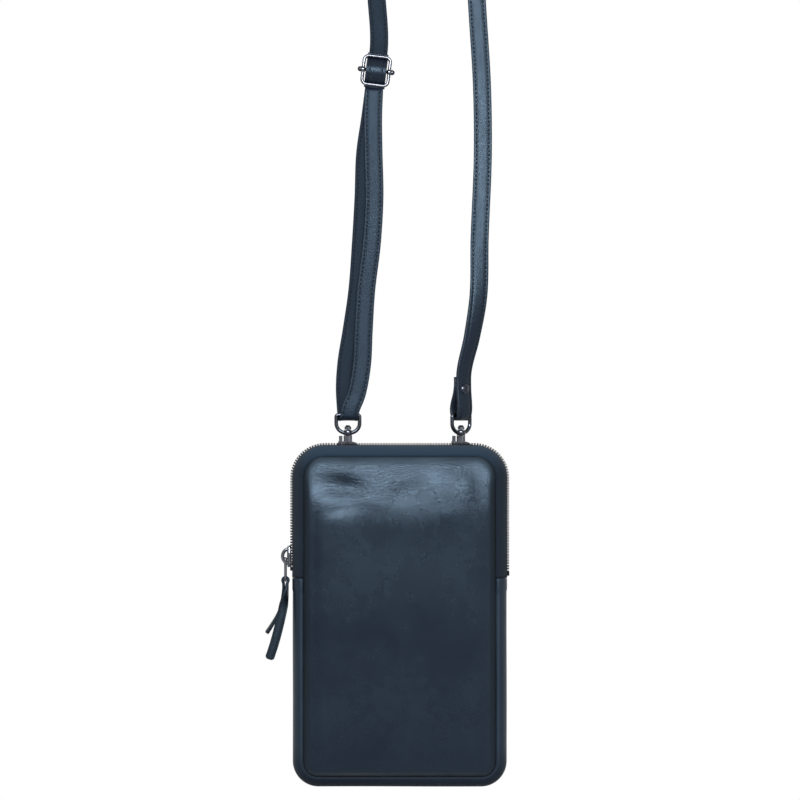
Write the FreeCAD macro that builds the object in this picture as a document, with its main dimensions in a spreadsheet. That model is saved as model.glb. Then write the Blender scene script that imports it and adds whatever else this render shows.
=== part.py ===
"""Leather phone pouch that hangs on an adjustable shoulder strap.

The pouch stands upright with its front towards -Y. Heights are counted from the pouch's
lowest edge, and every sub-part is then placed so that the origin is under the strap's crown.
"""
import FreeCAD, Part
import math
import os
import Sketcher
from FreeCAD import Placement, Rotation, Vector

# Driving dimensions, in millimetres and degrees
SIZES = {
    # Leather panels and gusset
    "panel_width": 104.4,
    "panel_height": 173.6,
    "panel_top_round": 11.5,
    "panel_bottom_round": 8.0,
    "panel_thickness": 2.4,
    "panel_edge_round": 1.6,
    "seam_depth": 16.0,
    "seam_lap": 0.4,
    "seam_gap": 0.3,
    "gusset_bulge": 6.1,
    "gusset_thickness": 1.4,
    "zip_end_height": 113.9,
    "fold_gap": 0.3,
    "lining_thickness": 0.5,
    "lining_inset": 2.0,
    # Zip tapes, teeth and stops
    "tape_bulge": 6.6,
    "tape_thickness": 0.8,
    "tape_edge": 2.3,
    "tooth_pitch": 1.5,
    "tooth_length": 1.1,
    "tooth_tip": 0.75,
    "tooth_seat_gap": 0.05,
    "tooth_floor": 5.0,
    "tooth_crest": 7.5,
    "stop_length": 2.0,
    "stop_inner": 0.9,
    # Zip slider, link and leather pull
    "slider_rise": 11.6,
    "slider_length": 11.4,
    "slider_head_width": 6.4,
    "slider_tail_width": 5.0,
    "slider_plate": 1.1,
    "slider_gap": 0.15,
    "slider_inner_gap": 0.4,
    "slider_flange": 0.65,
    "slider_flange_drop": 0.9,
    "slider_post_width": 1.4,
    "slider_post_length": 2.4,
    "slider_post_inset": 0.8,
    "bail_radius": 5.1,
    "bail_sink": 1.3,
    "bail_wire": 1.5,
    "link_width": 8.4,
    "link_length": 13.6,
    "link_corner": 1.5,
    "link_wire": 1.4,
    "link_stand": 1.3,
    "link_drop": 0.9,
    "pull_width": 5.0,
    "pull_thickness": 1.6,
    "pull_play": 0.2,
    "pull_short_length": 29.0,
    "pull_long_length": 43.0,
    "pull_sweep": 9.5,
    "pull_spread": 4.5,
    # Leather tab loops on the back
    "tab_width": 5.0,
    "tab_thickness": 1.4,
    "tab_bore": 5.2,
    "tab_tail": 18.0,
    "tab_gap": 0.05,
    "tab_slack": 0.6,
    # Snap hooks
    "left_hook_side": 28.4,
    "right_hook_side": 33.6,
    "hook_rise": 8.3,
    "claw_half_width": 5.0,
    "claw_depth": 14.3,
    "claw_top": 1.4,
    "claw_round": 2.4,
    "claw_wire": 2.4,
    "claw_tip": 9.2,
    "hub_left": 5.4,
    "hub_right": 2.6,
    "hub_depth": 3.2,
    "hub_thickness": 4.3,
    "hub_slot": 2.3,
    "slot_end": 1.6,
    "collar_radius": 2.45,
    "collar_height": 3.0,
    "post_radius": 0.95,
    "post_top": 6.4,
    "head_radius": 1.9,
    "head_top": 8.8,
    "head_round": 0.9,
    "gate_pivot_side": 3.95,
    "gate_pivot_drop": 1.5,
    "gate_thickness": 2.0,
    "gate_bar": 1.8,
    "gate_end": 8.7,
    "gate_hub": 1.2,
    "lever_top": 3.0,
    "lever_bar": 2.0,
    "pin_radius": 0.6,
    "pin_fit": 0.05,
    "spring_leaf": 0.3,
    "spring_width": 1.6,
    "spring_gap": 0.25,
    # Swivel eyes
    "eye_width": 15.0,
    "eye_low": 3.5,
    "eye_high": 15.6,
    "eye_low_round": 5.2,
    "eye_high_round": 2.4,
    "eye_wire": 2.2,
    "boss_radius": 2.3,
    "boss_gap": 0.2,
    "boss_fit": 0.1,
    "right_eye_turn": 40.0,
    # Shoulder strap
    "strap_width": 10.0,
    "strap_thickness": 1.8,
    "strap_play": 0.25,
    "left_fold_height": 3.5,
    "right_fold_height": 20.7,
    "right_pinch_height": 10.0,
    "layer_gap": 0.1,
    "strap_joint_gap": 0.2,
    "rivet_height": 14.1,
    "rivet_post": 1.1,
    "rivet_cap_radius": 2.7,
    "rivet_cap": 1.0,
    "rivet_burr_radius": 2.1,
    "rivet_burr": 0.5,
    "crown_height": 625.0,
    "crown_side": 6.0,
    "crown_radius": 24.0,
    "right_sway": 12.0,
    "right_bow": 12.0,
    "adjust_sway": 6.0,
    "return_sway": 3.0,
    # Strap adjuster buckle
    "buckle_height": 391.0,
    "buckle_side": 12.9,
    "buckle_tilt": 7.0,
    "frame_width": 16.3,
    "frame_length": 17.5,
    "frame_round": 3.6,
    "frame_wire": 1.9,
    "frame_boss_radius": 1.75,
    "frame_boss": 2.3,
    "bar_radius": 0.95,
    "bar_fit": 0.08,
    "bar_ball_radius": 1.35,
    "loop_leather": 1.2,
    "loop_play": 0.1,
    "weave_half": 9.5,
    "slide_room": 70.0,
    # Depth by which a cut runs past the solid
    "overrun": 1.0,
}

# Outline of a tooth: along the chain as shares of its length, across as shares of its reach
TOOTH_SHARES = ((-0.5, 1), (0.5, 1), (0.5, 0.5), (0.3, 0.3), (0.36, 0), (-0.36, 0), (-0.3, 0.3), (-0.5, 0.5))
TOOTH_CREST_SHARE = 0.72

# Strand shapes: height shares from the hook upwards, with sideways shares of that strand's sway
RIGHT_STRAND_SHARES = ((0.057, 0.39), (0.111, 0.69), (0.2, 0.8), (0.33, 1.0), (0.42, 1.0), (0.53, 0.84),
                       (0.657, 0.63), (0.79, 0.4), (0.9, 0.2))
ADJUST_STRAND_SHARES = ((0.045, 0.6), (0.13, 0.92), (0.24, 0.86), (0.36, 0.8), (0.52, 0.95), (0.66, 0.84),
                        (0.8, 0.42), (0.91, 0.12))
RETURN_STRAND_SHARES = ((0.07, -0.9), (0.14, -0.95), (0.24, -0.5), (0.36, -0.05), (0.52, -0.1), (0.66, -0.3),
                        (0.8, -0.65), (0.91, -0.25))
GUSSET_SHARES = (0.147, 0.429, 0.678, 0.873, 1)
TAPE_SHARES = (0, 0.348, 0.643, 0.865, 1)
WIRE_FLATS = 12
BALL_TURN_SHARES = (0.34, 0.5, 0.66, 0.83)
RIVET_SHOULDER_SHARE = 0.55
# The right strand is flat to the front again by the first share; both turn edge-on between the others
UNTURN_SHARE = 0.2
TURN_SHARES = (0.55, 0.92)
GATE_SHOULDER_SHARE = 0.6
STOP_CHAMFER_SHARE = 0.12
LOOP_BEND_SHARE = 0.75
# The pull's tails: shares of its length, of the fold's half-width, of the sweep, of the spread and of a quarter turn
PULL_SHORT_SHARES = ((0, 1, 0, 0, 0), (0.14, 0.75, 0.01, 0.1, 0), (0.32, 0.72, 0.053, 0.42, 0),
                     (0.5, 0.6, 0.13, 0.48, 0), (0.66, 0.5, 0.25, 0.48, 0.05), (0.83, 0.4, 0.555, 0.48, 0.12),
                     (1, 0.3, 1.04, 0.48, 0.18))
PULL_LONG_SHARES = ((0, 1, 0, 0, 0), (0.093, 0.66, 0.011, -0.08, -0.08), (0.25, 0.4, 0.12, -0.4, -0.5),
                    (0.35, 0.35, 0.2, -0.5, -0.85), (0.45, 0.3, 0.285, -0.55, -1), (0.6, 0.2, 0.425, -0.57, -1),
                    (0.8, 0.1, 0.65, -0.59, -1), (1, 0, 0.93, -0.6, -1))
BOW_SHARES = (0.1, 0.6, 1.0)

doc = FreeCAD.newDocument("phone_pouch")
sheet = doc.addObject("Spreadsheet::Sheet", "dims")
for row, (alias, number) in enumerate(SIZES.items(), 1):
    sheet.set(f"A{row}", alias)
    sheet.set(f"B{row}", str(number))
    sheet.setAlias(f"B{row}", alias)
doc.recompute()


class Size:
    """A length together with the spreadsheet expression that gives it."""

    def __init__(self, number, text):
        self.number = number
        self.text = text

    def __add__(self, other):
        return Size(self.number + number_of(other), f"({self.text} + {text_of(other)})")

    def __radd__(self, other):
        return Size(number_of(other) + self.number, f"({text_of(other)} + {self.text})")

    def __sub__(self, other):
        return Size(self.number - number_of(other), f"({self.text} - {text_of(other)})")

    def __rsub__(self, other):
        return Size(number_of(other) - self.number, f"({text_of(other)} - {self.text})")

    def __mul__(self, other):
        return Size(self.number * number_of(other), f"({self.text} * {text_of(other)})")

    def __truediv__(self, other):
        return Size(self.number / number_of(other), f"({self.text} / {text_of(other)})")

    def __neg__(self):
        return Size(-self.number, f"(-1 * {self.text})")

    def root(self):
        return Size(math.sqrt(self.number), f"sqrt({self.text})")


def number_of(item):
    return item.number if isinstance(item, Size) else item


def text_of(item):
    return item.text if isinstance(item, Size) else str(item)


def size(alias):
    return Size(float(sheet.get(alias)), f"dims.{alias}")


def bind(target, prop, item):
    target.setExpression(prop, text_of(item))


# Sizes that several sub-parts share
half_width = size("panel_width") / 2
panel_low = size("gusset_bulge")
panel_high = panel_low + size("panel_height")
seam = size("seam_depth") / 2
panel_inner = seam - size("seam_lap")
panel_outer = panel_inner + size("panel_thickness")
fold_height = size("zip_end_height")
slider_height = fold_height + size("slider_rise")
hook_height = panel_high + size("hook_rise")
tab_outer = size("tab_bore") / 2 + size("tab_thickness")
hook_depth = panel_outer + size("tab_gap") + tab_outer
rod_height = hook_height - size("claw_depth")
bar_height = hook_height + size("eye_high") - size("eye_wire") / 2
fold_inner = size("eye_wire") / 2 + size("strap_play")
fold_outer = fold_inner + size("strap_thickness")
slider_outer = size("tooth_crest") + size("slider_gap") + size("slider_plate")
weave_rest = size("frame_wire") / 2 + size("layer_gap") + size("strap_thickness") / 2
loop_radius = size("bar_radius") + size("loop_play") + size("loop_leather")
weave_crest = loop_radius + size("layer_gap") + size("strap_thickness") / 2
buckle_depth = hook_depth - weave_rest - (size("strap_thickness") + size("layer_gap")) / 2

NODES = {}


def keep(name, thing, x=0, y=0, z=0, turn=None):
    """Name a finished sub-part and place it in the frame that hangs from the strap's crown."""
    thing.Label = name
    base = Vector(number_of(x - size("crown_side")), number_of(y - hook_depth),
                  number_of(z - size("crown_height")))
    thing.Placement = Placement(base, turn or Rotation())
    NODES[name] = thing
    return thing


def new_body(name):
    return doc.addObject("PartDesign::Body", name + "_body")


def new_sketch(body, role, offset=0):
    """A sketch on one of the body's own origin planes, moved along the plane's normal."""
    plane = [feature for feature in body.Origin.OriginFeatures if feature.Role == role][0]
    sketch = body.newObject("Sketcher::SketchObject", body.Name + "_sketch")
    sketch.AttachmentSupport = (plane, [""])
    sketch.MapMode = "FlatFace"
    bind(sketch, "AttachmentOffset.Base.z", offset)
    return sketch


def constrain(sketch, item, kind, *where):
    index = sketch.addConstraint(Sketcher.Constraint(kind, *where, number_of(item)))
    bind(sketch, f"Constraints[{index}]", item)


def pin_point(sketch, geometry, end, point):
    constrain(sketch, point[0], "DistanceX", -1, 1, geometry, end)
    constrain(sketch, point[1], "DistanceY", -1, 1, geometry, end)


def flat(point):
    return Vector(number_of(point[0]), number_of(point[1]), 0)


def draw(sketch, pieces, end=None):
    """Draw lines ("line", start) and arcs ("arc", start, centre, radius, turns_left) one after another.

    Each piece ends where the next begins; the last ends at `end`, or closes the outline.
    """
    starts = [piece[1] for piece in pieces]
    ends = starts[1:] + [end or starts[0]]
    drawn = []
    for piece, finish in zip(pieces, ends):
        start = piece[1]
        if piece[0] == "line":
            index = sketch.addGeometry(Part.LineSegment(flat(start), flat(finish)))
            drawn.append((index, 1, 2))
        else:
            centre, radius, turns_left = piece[2:]
            first, last = (start, finish) if turns_left else (finish, start)
            angles = [math.atan2(*reversed(tuple(flat(p) - flat(centre))[:2])) for p in (first, last)]
            circle = Part.Circle(flat(centre), Vector(0, 0, 1), number_of(radius))
            if angles[1] < angles[0]:
                angles[1] += 2 * math.pi
            index = sketch.addGeometry(Part.ArcOfCircle(circle, angles[0], angles[1]))
            drawn.append((index, 1, 2) if turns_left else (index, 2, 1))
            chord = flat(finish) - flat(start)
            kind, axis = ("DistanceY", 1) if abs(chord.x) >= abs(chord.y) else ("DistanceX", 0)
            constrain(sketch, centre[axis], kind, -1, 1, index, 3)
        pin_point(sketch, index, drawn[-1][1], start)
    for place, (index, _, tail) in enumerate(drawn):
        if place + 1 < len(drawn):
            following = drawn[place + 1]
        elif end is None:
            following = drawn[0]
        else:
            pin_point(sketch, index, tail, end)
            continue
        sketch.addConstraint(Sketcher.Constraint("Coincident", index, tail, following[0], following[1]))
    return [f"Edge{number + 1}" for number in range(len(drawn))]


def draw_circle(sketch, centre, radius):
    index = sketch.addGeometry(Part.Circle(flat(centre), Vector(0, 0, 1), number_of(radius)))
    constrain(sketch, radius, "Radius", index)
    pin_point(sketch, index, 3, centre)


def polygon(*points):
    return [("line", point) for point in points]


def draw_wire(sketch, centre, radius):
    """A wire's section, drawn with twelve flats so that its bends stay light."""
    turns = [math.pi * (2 * flat_number + 1) / WIRE_FLATS for flat_number in range(WIRE_FLATS)]
    draw(sketch, polygon(*[(centre[0] + radius * math.cos(turn), centre[1] + radius * math.sin(turn))
                           for turn in turns]))


def rectangle(left, right, low, high):
    return polygon((left, low), (left, high), (right, high), (right, low))


def rounded_box(half, low, high, low_round=0, high_round=0):
    """Pieces of an upright box outline, up its left side first, with its corners rounded."""
    pieces = [("line", (-half, low + low_round))]
    if high_round:
        pieces.append(("arc", (-half, high - high_round), (high_round - half, high - high_round),
                       high_round, False))
    pieces.append(("line", (high_round - half, high)))
    if high_round:
        pieces.append(("arc", (half - high_round, high), (half - high_round, high - high_round),
                       high_round, False))
    pieces.append(("line", (half, high - high_round)))
    if low_round:
        pieces.append(("arc", (half, low + low_round), (half - low_round, low + low_round), low_round, False))
    pieces.append(("line", (half - low_round, low)))
    if low_round:
        pieces.append(("arc", (low_round - half, low), (low_round - half, low + low_round), low_round, False))
    return pieces


def pad(body, sketch, length, middle=False, back=False):
    feature = body.newObject("PartDesign::Pad", body.Name + "_pad")
    feature.Profile = sketch
    bind(feature, "Length", length)
    feature.SideType = "Symmetric" if middle else "One side"
    feature.Reversed = back
    return feature


def pocket(body, sketch, length):
    """Cut the sketch's outline away on both sides of its plane."""
    doc.recompute()
    before = body.Shape.Volume
    feature = body.newObject("PartDesign::Pocket", body.Name + "_pocket")
    feature.Profile = sketch
    bind(feature, "Length", length)
    feature.SideType = "Symmetric"
    doc.recompute()
    if body.Shape.Volume >= before:
        raise RuntimeError(f"a pocket in {body.Name} cuts nothing")
    return feature


def pipe(body, profile, path, edges):
    feature = body.newObject("PartDesign::AdditivePipe", body.Name + "_pipe")
    feature.Profile = profile
    feature.Spine = (path, edges)
    return feature


def revolve(body, sketch, axis="V_Axis"):
    feature = body.newObject("PartDesign::Revolution", body.Name + "_revolution")
    feature.Profile = sketch
    feature.ReferenceAxis = (sketch, [axis])
    feature.Angle = 360
    return feature


def round_face(body, base, direction, radius, straight):
    """Round the edges of the face that lies furthest along a direction, but not its straight fold edge."""
    doc.recompute()
    face = max(base.Shape.Faces, key=lambda item: item.CenterOfMass.dot(direction))
    chosen = []
    for number, edge in enumerate(base.Shape.Edges, 1):
        on_face = any(edge.isSame(other) for other in face.Edges)
        on_fold = straight is not None and abs(edge.CenterOfMass.z - number_of(straight)) < 1e-6
        if on_face and not on_fold:
            chosen.append(f"Edge{number}")
    feature = body.newObject("PartDesign::Fillet", body.Name + "_fillet")
    feature.Base = (base, chosen)
    bind(feature, "Radius", radius)
    return feature


def panel(name, front, pieces, depth, thickness, edge_round=None, straight=None):
    """A leather or lining sheet in the pouch's front or back plane, padded outwards from a depth."""
    body = new_body(name)
    sketch = new_sketch(body, "XZ_Plane", depth if front else -depth)
    draw(sketch, pieces)
    sheet_pad = pad(body, sketch, thickness, back=not front)
    if edge_round:
        round_face(body, sheet_pad, Vector(0, -1 if front else 1, 0), edge_round, straight)
    keep(name, body)


def make_panels():
    thickness = size("panel_thickness")
    edge = size("panel_edge_round")
    top_round = size("panel_top_round")
    low_round = size("panel_bottom_round")
    half_gap = size("fold_gap") / 2
    panel("back_panel", False, rounded_box(half_width, panel_low, panel_high, low_round, top_round),
          panel_inner, thickness, edge)
    below = fold_height - half_gap
    above = fold_height + half_gap
    panel("front_panel_lower", True, rounded_box(half_width, panel_low, below, low_round),
          panel_inner, thickness, edge, below)
    panel("front_panel_upper", True, rounded_box(half_width, above, panel_high, 0, top_round),
          panel_inner, thickness, edge, above)
    inset = size("lining_inset")
    lining = size("lining_thickness")
    half = half_width - inset
    low = panel_low + inset
    high = panel_high - inset
    depth = panel_inner - lining
    panel("lining_back", False, rounded_box(half, low, high, low_round - inset, top_round - inset), depth, lining)
    panel("lining_front_lower", True, rounded_box(half, low, below, low_round - inset), depth, lining)
    panel("lining_front_upper", True, rounded_box(half, above, high, 0, top_round - inset), depth, lining)


class Bulge:
    """The round cross-section of the pouch's side, from one seam to the other."""

    def __init__(self, bulge, thickness):
        self.radius = (seam * seam + bulge * bulge) / (bulge * 2)
        self.inner_radius = self.radius - thickness
        self.centre = bulge - self.radius

    def depth_at(self, out, radius):
        return (radius * radius - (out - self.centre) * (out - self.centre)).root()

    def out_at(self, depth, radius):
        return self.centre + (radius * radius - depth * depth).root()

    def line(self, depths, radius):
        """Corners of the section's line at the left side of the pouch."""
        return [(-half_width - self.out_at(depth, radius), depth) for depth in depths]


def make_gusset():
    bulge = Bulge(size("gusset_bulge"), size("gusset_thickness"))
    top = fold_height - size("fold_gap") / 2
    low_round = size("panel_bottom_round")
    body = new_body("gusset")
    path = new_sketch(body, "XZ_Plane")
    edges = draw(path, [
        ("line", (-half_width, top)),
        ("arc", (-half_width, panel_low + low_round), (low_round - half_width, panel_low + low_round),
         low_round, True),
        ("line", (low_round - half_width, panel_low)),
        ("arc", (half_width - low_round, panel_low), (half_width - low_round, panel_low + low_round),
         low_round, True),
        ("line", (half_width, panel_low + low_round)),
    ], end=(half_width, top))
    edge = size("seam_gap")
    outer_depth = bulge.depth_at(edge, bulge.radius)
    inner_depth = bulge.depth_at(edge, bulge.inner_radius)
    shares = [-share for share in reversed(GUSSET_SHARES)] + list(GUSSET_SHARES)
    outer = bulge.line([outer_depth * share for share in shares], bulge.radius)
    inner = bulge.line([inner_depth * share for share in reversed(shares)], bulge.inner_radius)
    profile = new_sketch(body, "XY_Plane", top)
    draw(profile, polygon(*outer, *inner))
    pipe(body, profile, path, edges)
    keep("gusset", body)


def draw_zip_path(body):
    """The upper seam line, from the left zip end over the top to the right zip end."""
    top_round = size("panel_top_round")
    start = fold_height + size("fold_gap") / 2
    path = new_sketch(body, "XZ_Plane")
    edges = draw(path, [
        ("line", (-half_width, start)),
        ("arc", (-half_width, panel_high - top_round), (top_round - half_width, panel_high - top_round),
         top_round, False),
        ("line", (top_round - half_width, panel_high)),
        ("arc", (half_width - top_round, panel_high), (half_width - top_round, panel_high - top_round),
         top_round, False),
        ("line", (half_width, panel_high - top_round)),
    ], end=(half_width, start))
    return path, edges, start


def make_tape(name, front):
    bulge = Bulge(size("tape_bulge"), size("tape_thickness"))
    body = new_body(name)
    path, edges, start = draw_zip_path(body)
    gap = size("seam_gap")
    edge = size("tape_edge")
    outer_depth = bulge.depth_at(gap, bulge.radius)
    inner_depth = bulge.depth_at(gap, bulge.inner_radius)
    side = -1 if front else 1
    outer = [(edge + (outer_depth - edge) * share) * side for share in TAPE_SHARES]
    inner = [(edge + (inner_depth - edge) * share) * side for share in reversed(TAPE_SHARES)]
    profile = new_sketch(body, "XY_Plane", start)
    draw(profile, polygon(*bulge.line(outer, bulge.radius), *bulge.line(inner, bulge.inner_radius)))
    pipe(body, profile, path, edges)
    keep(name, body)


def zip_frame(distance):
    """Place and outward direction on the seam line, a distance along it from the left zip end."""
    half = number_of(half_width)
    low = number_of(fold_height)
    top_round = number_of(size("panel_top_round"))
    side = number_of(panel_high) - top_round - low
    arc = top_round * math.pi / 2
    flat_top = 2 * (half - top_round)
    corner = number_of(panel_high) - top_round
    if distance < side:
        return Vector(-half, 0, low + distance), Vector(-1, 0, 0)
    if distance < side + arc:
        angle = math.pi - (distance - side) / top_round
        out = Vector(math.cos(angle), 0, math.sin(angle))
        return Vector(top_round - half, 0, corner) + out * top_round, out
    if distance < side + arc + flat_top:
        return Vector(top_round - half + distance - side - arc, 0, number_of(panel_high)), Vector(0, 0, 1)
    if distance < side + 2 * arc + flat_top:
        angle = math.pi / 2 - (distance - side - arc - flat_top) / top_round
        out = Vector(math.cos(angle), 0, math.sin(angle))
        return Vector(half - top_round, 0, corner) + out * top_round, out
    return Vector(half, 0, corner - (distance - side - 2 * arc - flat_top)), Vector(1, 0, 0)


def zip_length():
    top_round = number_of(size("panel_top_round"))
    side = number_of(panel_high - fold_height) - top_round
    return 2 * side + math.pi * top_round + 2 * (number_of(half_width) - top_round)


def tooth(front):
    """One tooth at the origin: along X, its root towards its own tape, growing outwards along Z."""
    length = number_of(size("tooth_length"))
    tip = number_of(size("tooth_tip"))
    reach = number_of(size("tape_edge") - size("tooth_seat_gap")) + tip
    side = -1 if front else 1
    layers = []
    for out, share in ((size("tooth_floor"), 1), (size("tooth_crest"), TOOTH_CREST_SHARE)):
        points = [Vector(along * length * share, side * (across * reach - tip), number_of(out))
                  for along, across in TOOTH_SHARES]
        layers.append(Part.makePolygon(points + points[:1]))
    return Part.makeLoft(layers, True, True)


def upright_frame(place, out):
    """Turn X along the zip, Y across it and Z outwards."""
    along = Vector(0, 1, 0).cross(out)
    return Placement(place, Rotation(along, Vector(0, 1, 0), out, "ZXY"))


def make_teeth(name, front):
    pitch = number_of(size("tooth_pitch"))
    post_top = (slider_height - size("slider_length") / 2 + size("slider_post_inset")
                + size("slider_post_length"))
    first = number_of(post_top - fold_height) + pitch
    last = zip_length() - number_of(size("stop_length")) - 2 * pitch
    count = int((last - first) / pitch)
    shape = tooth(front)
    teeth = []
    for number in range(0 if front else 1, count, 2):
        place, out = zip_frame(first + number * pitch)
        copy = shape.copy()
        copy.Placement = upright_frame(place, out)
        teeth.append(copy)
    feature = doc.addObject("Part::Feature", name)
    feature.Shape = Part.makeCompound(teeth)
    keep(name, feature)


def make_stops():
    """A crimped stop on each tape below the slider, and the staple that joins the tapes at the far end."""
    length = number_of(size("stop_length"))
    root = number_of(size("tape_edge") - size("tooth_seat_gap"))
    inner = number_of(size("stop_inner"))
    low = number_of(size("tooth_floor"))
    tall = number_of(size("tooth_crest")) - low
    under = number_of(slider_height - size("slider_length") / 2 - size("slider_gap") - fold_height)
    pieces = []
    for distance, start, wide in ((under - length / 2, inner, root - inner), (under - length / 2, -root, root - inner),
                                  (zip_length() - length, -root, 2 * root)):
        block = Part.makeBox(length, wide, tall, Vector(-length / 2, start, low))
        block = block.makeChamfer(length * STOP_CHAMFER_SHARE, block.Edges)
        place, out = zip_frame(distance)
        block.Placement = upright_frame(place, out)
        pieces.append(block)
    feature = doc.addObject("Part::Feature", "zip_stops")
    feature.Shape = Part.makeCompound(pieces)
    keep("zip_stops", feature)


def slider_plate_outline():
    """The slider's plate, wide where both rows leave it and narrow where they are closed."""
    half = size("slider_length") / 2
    head = size("slider_head_width") / 2
    tail = size("slider_tail_width") / 2
    middle = slider_height
    return polygon((-head, middle - half), (-head, middle), (-tail, middle + half),
                   (tail, middle + half), (head, middle), (head, middle - half))


def make_slider():
    body = new_body("zip_slider_body")
    plate = size("slider_plate")
    inner_out = size("tooth_floor") - size("slider_inner_gap")
    outer_in = size("tooth_crest") + size("slider_gap")
    low = slider_height - size("slider_length") / 2
    sketch = new_sketch(body, "YZ_Plane", -half_width - inner_out)
    draw(sketch, slider_plate_outline())
    pad(body, sketch, plate)
    post_low = low + size("slider_post_inset")
    half_post = size("slider_post_width") / 2
    sketch = new_sketch(body, "YZ_Plane", -half_width - inner_out)
    draw(sketch, rectangle(-half_post, half_post, post_low, post_low + size("slider_post_length")))
    pad(body, sketch, outer_in - inner_out, back=True)
    sketch = new_sketch(body, "YZ_Plane", -half_width - outer_in)
    draw(sketch, slider_plate_outline())
    pad(body, sketch, plate, back=True)
    head = size("slider_head_width") / 2
    for side in (-1, 1):
        sketch = new_sketch(body, "YZ_Plane", -half_width - outer_in)
        draw(sketch, rectangle((head - size("slider_flange")) * side, head * side, low, slider_height))
        pad(body, sketch, size("slider_flange_drop"))
    bail = size("bail_radius")
    hole = bail - size("bail_wire")
    sink = size("bail_sink")
    face = -half_width - slider_outer
    rise = (bail * bail - sink * sink).root()
    hole_rise = (hole * hole - sink * sink).root()
    middle = slider_height
    centre = (face + sink, middle)
    sketch = new_sketch(body, "XZ_Plane")
    draw(sketch, [
        ("arc", (face, middle + rise), centre, bail, True),
        ("line", (face, middle - rise)),
        ("arc", (face, middle - hole_rise), centre, hole, False),
        ("line", (face, middle + hole_rise)),
    ])
    pad(body, sketch, size("bail_wire"), middle=True)
    keep("zip_slider_body", body)


def upright_wire(body, x, low, high, radius):
    sketch = new_sketch(body, "XY_Plane", low)
    draw_wire(sketch, (x, 0), radius)
    pad(body, sketch, high - low)


def level_wire(body, height, left, right, radius):
    sketch = new_sketch(body, "YZ_Plane", left)
    draw_wire(sketch, (0, height), radius)
    pad(body, sketch, right - left)


def bend_wire(body, x, centre, height, radius, upwards):
    """A quarter turn of wire, from an upright run at x round a centre line, to a level run."""
    sketch = new_sketch(body, "XY_Plane", height)
    line = sketch.addGeometry(Part.LineSegment(flat((centre, -radius)), flat((centre, radius))), True)
    pin_point(sketch, line, 1, (centre, -radius))
    pin_point(sketch, line, 2, (centre, radius))
    draw_wire(sketch, (x, 0), radius)
    feature = revolve(body, sketch, "Axis0")
    feature.Angle = 90
    feature.Reversed = (number_of(x) < number_of(centre)) != upwards


def wire_loop(body, width, low, high, low_round, high_round, wire):
    """A closed loop of round wire, upright in the front plane; its sizes are taken over the outside."""
    radius = wire / 2
    half = width / 2 - radius
    low_bend = low_round - radius
    high_bend = high_round - radius
    foot = low + low_round
    head = high - high_round
    upright_wire(body, -half, foot, head, radius)
    bend_wire(body, -half, high_bend - half, head, radius, True)
    level_wire(body, high - radius, high_bend - half, half - high_bend, radius)
    bend_wire(body, half, half - high_bend, head, radius, True)
    upright_wire(body, half, foot, head, radius)
    bend_wire(body, half, half - low_bend, foot, radius, False)
    level_wire(body, low + radius, low_bend - half, half - low_bend, radius)
    bend_wire(body, -half, low_bend - half, foot, radius, False)


def make_link():
    """The link that hangs in the slider's bail, side on, and holds the leather pull at its foot."""
    body = new_body("zip_link")
    corner = size("link_corner")
    wire_loop(body, size("link_width"), -size("link_length"), 0, corner, corner, size("link_wire"))
    keep("zip_link", body, link_side(), 0, link_top(), Rotation(Vector(0, 0, 1), 90))


def link_side():
    return -half_width - slider_outer - size("link_stand")


def link_top():
    return slider_height - size("link_drop") + size("link_wire") / 2


def rectangle_wire(centre, width, thickness, turn):
    """An upright strip's cross-section: width across, thickness in depth, turned about the vertical."""
    corners = [Vector(x * width / 2, y * thickness / 2, 0) for x, y in ((-1, -1), (1, -1), (1, 1), (-1, 1), (-1, -1))]
    spin = Rotation(Vector(0, 0, 1), turn)
    return Part.makePolygon([centre + spin.multVec(corner) for corner in corners])


def make_pull():
    """A narrow leather strip folded over the link's foot: a short tail edge-on and a long one face-on."""
    bore = number_of(size("link_wire") / 2 + size("pull_play"))
    thick = number_of(size("pull_thickness"))
    wide = number_of(size("pull_width"))
    outer = bore + thick
    across = Vector(0, 1, 0)
    middle = bore + thick / 2
    ring = Part.makeCylinder(outer, wide, Vector(0, -wide / 2, 0), across)
    ring = ring.cut(Part.makeCylinder(bore, wide, Vector(0, -wide / 2, 0), across))
    below = Part.makeBox(2 * outer, wide, outer, Vector(-outer, -wide / 2, -outer))
    fold = ring.cut(below)
    sweep = number_of(size("pull_sweep"))
    spread = number_of(size("pull_spread"))
    tails = []
    for side, length, stations in ((-1, number_of(size("pull_short_length")), PULL_SHORT_SHARES),
                                   (1, number_of(size("pull_long_length")), PULL_LONG_SHARES)):
        sections = []
        for drop, beside, swept, deep, quarter in stations:
            centre = Vector(side * middle * beside - sweep * swept, spread * deep, -length * drop)
            sections.append(rectangle_wire(centre, thick, wide, 90 * quarter))
        tails.append(Part.makeLoft(sections, True, True))
    gap = number_of(size("pull_play"))
    apart = Part.makeBox(gap, 2 * wide, outer, Vector(-gap / 2, -wide, -outer))
    feature = doc.addObject("Part::Feature", "zip_pull")
    feature.Shape = fold.fuse([tails[0], tails[1]]).cut(apart).removeSplitter()
    foot = link_top() - size("link_length") + size("link_wire") / 2
    keep("zip_pull", feature, link_side(), 0, foot)


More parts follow.
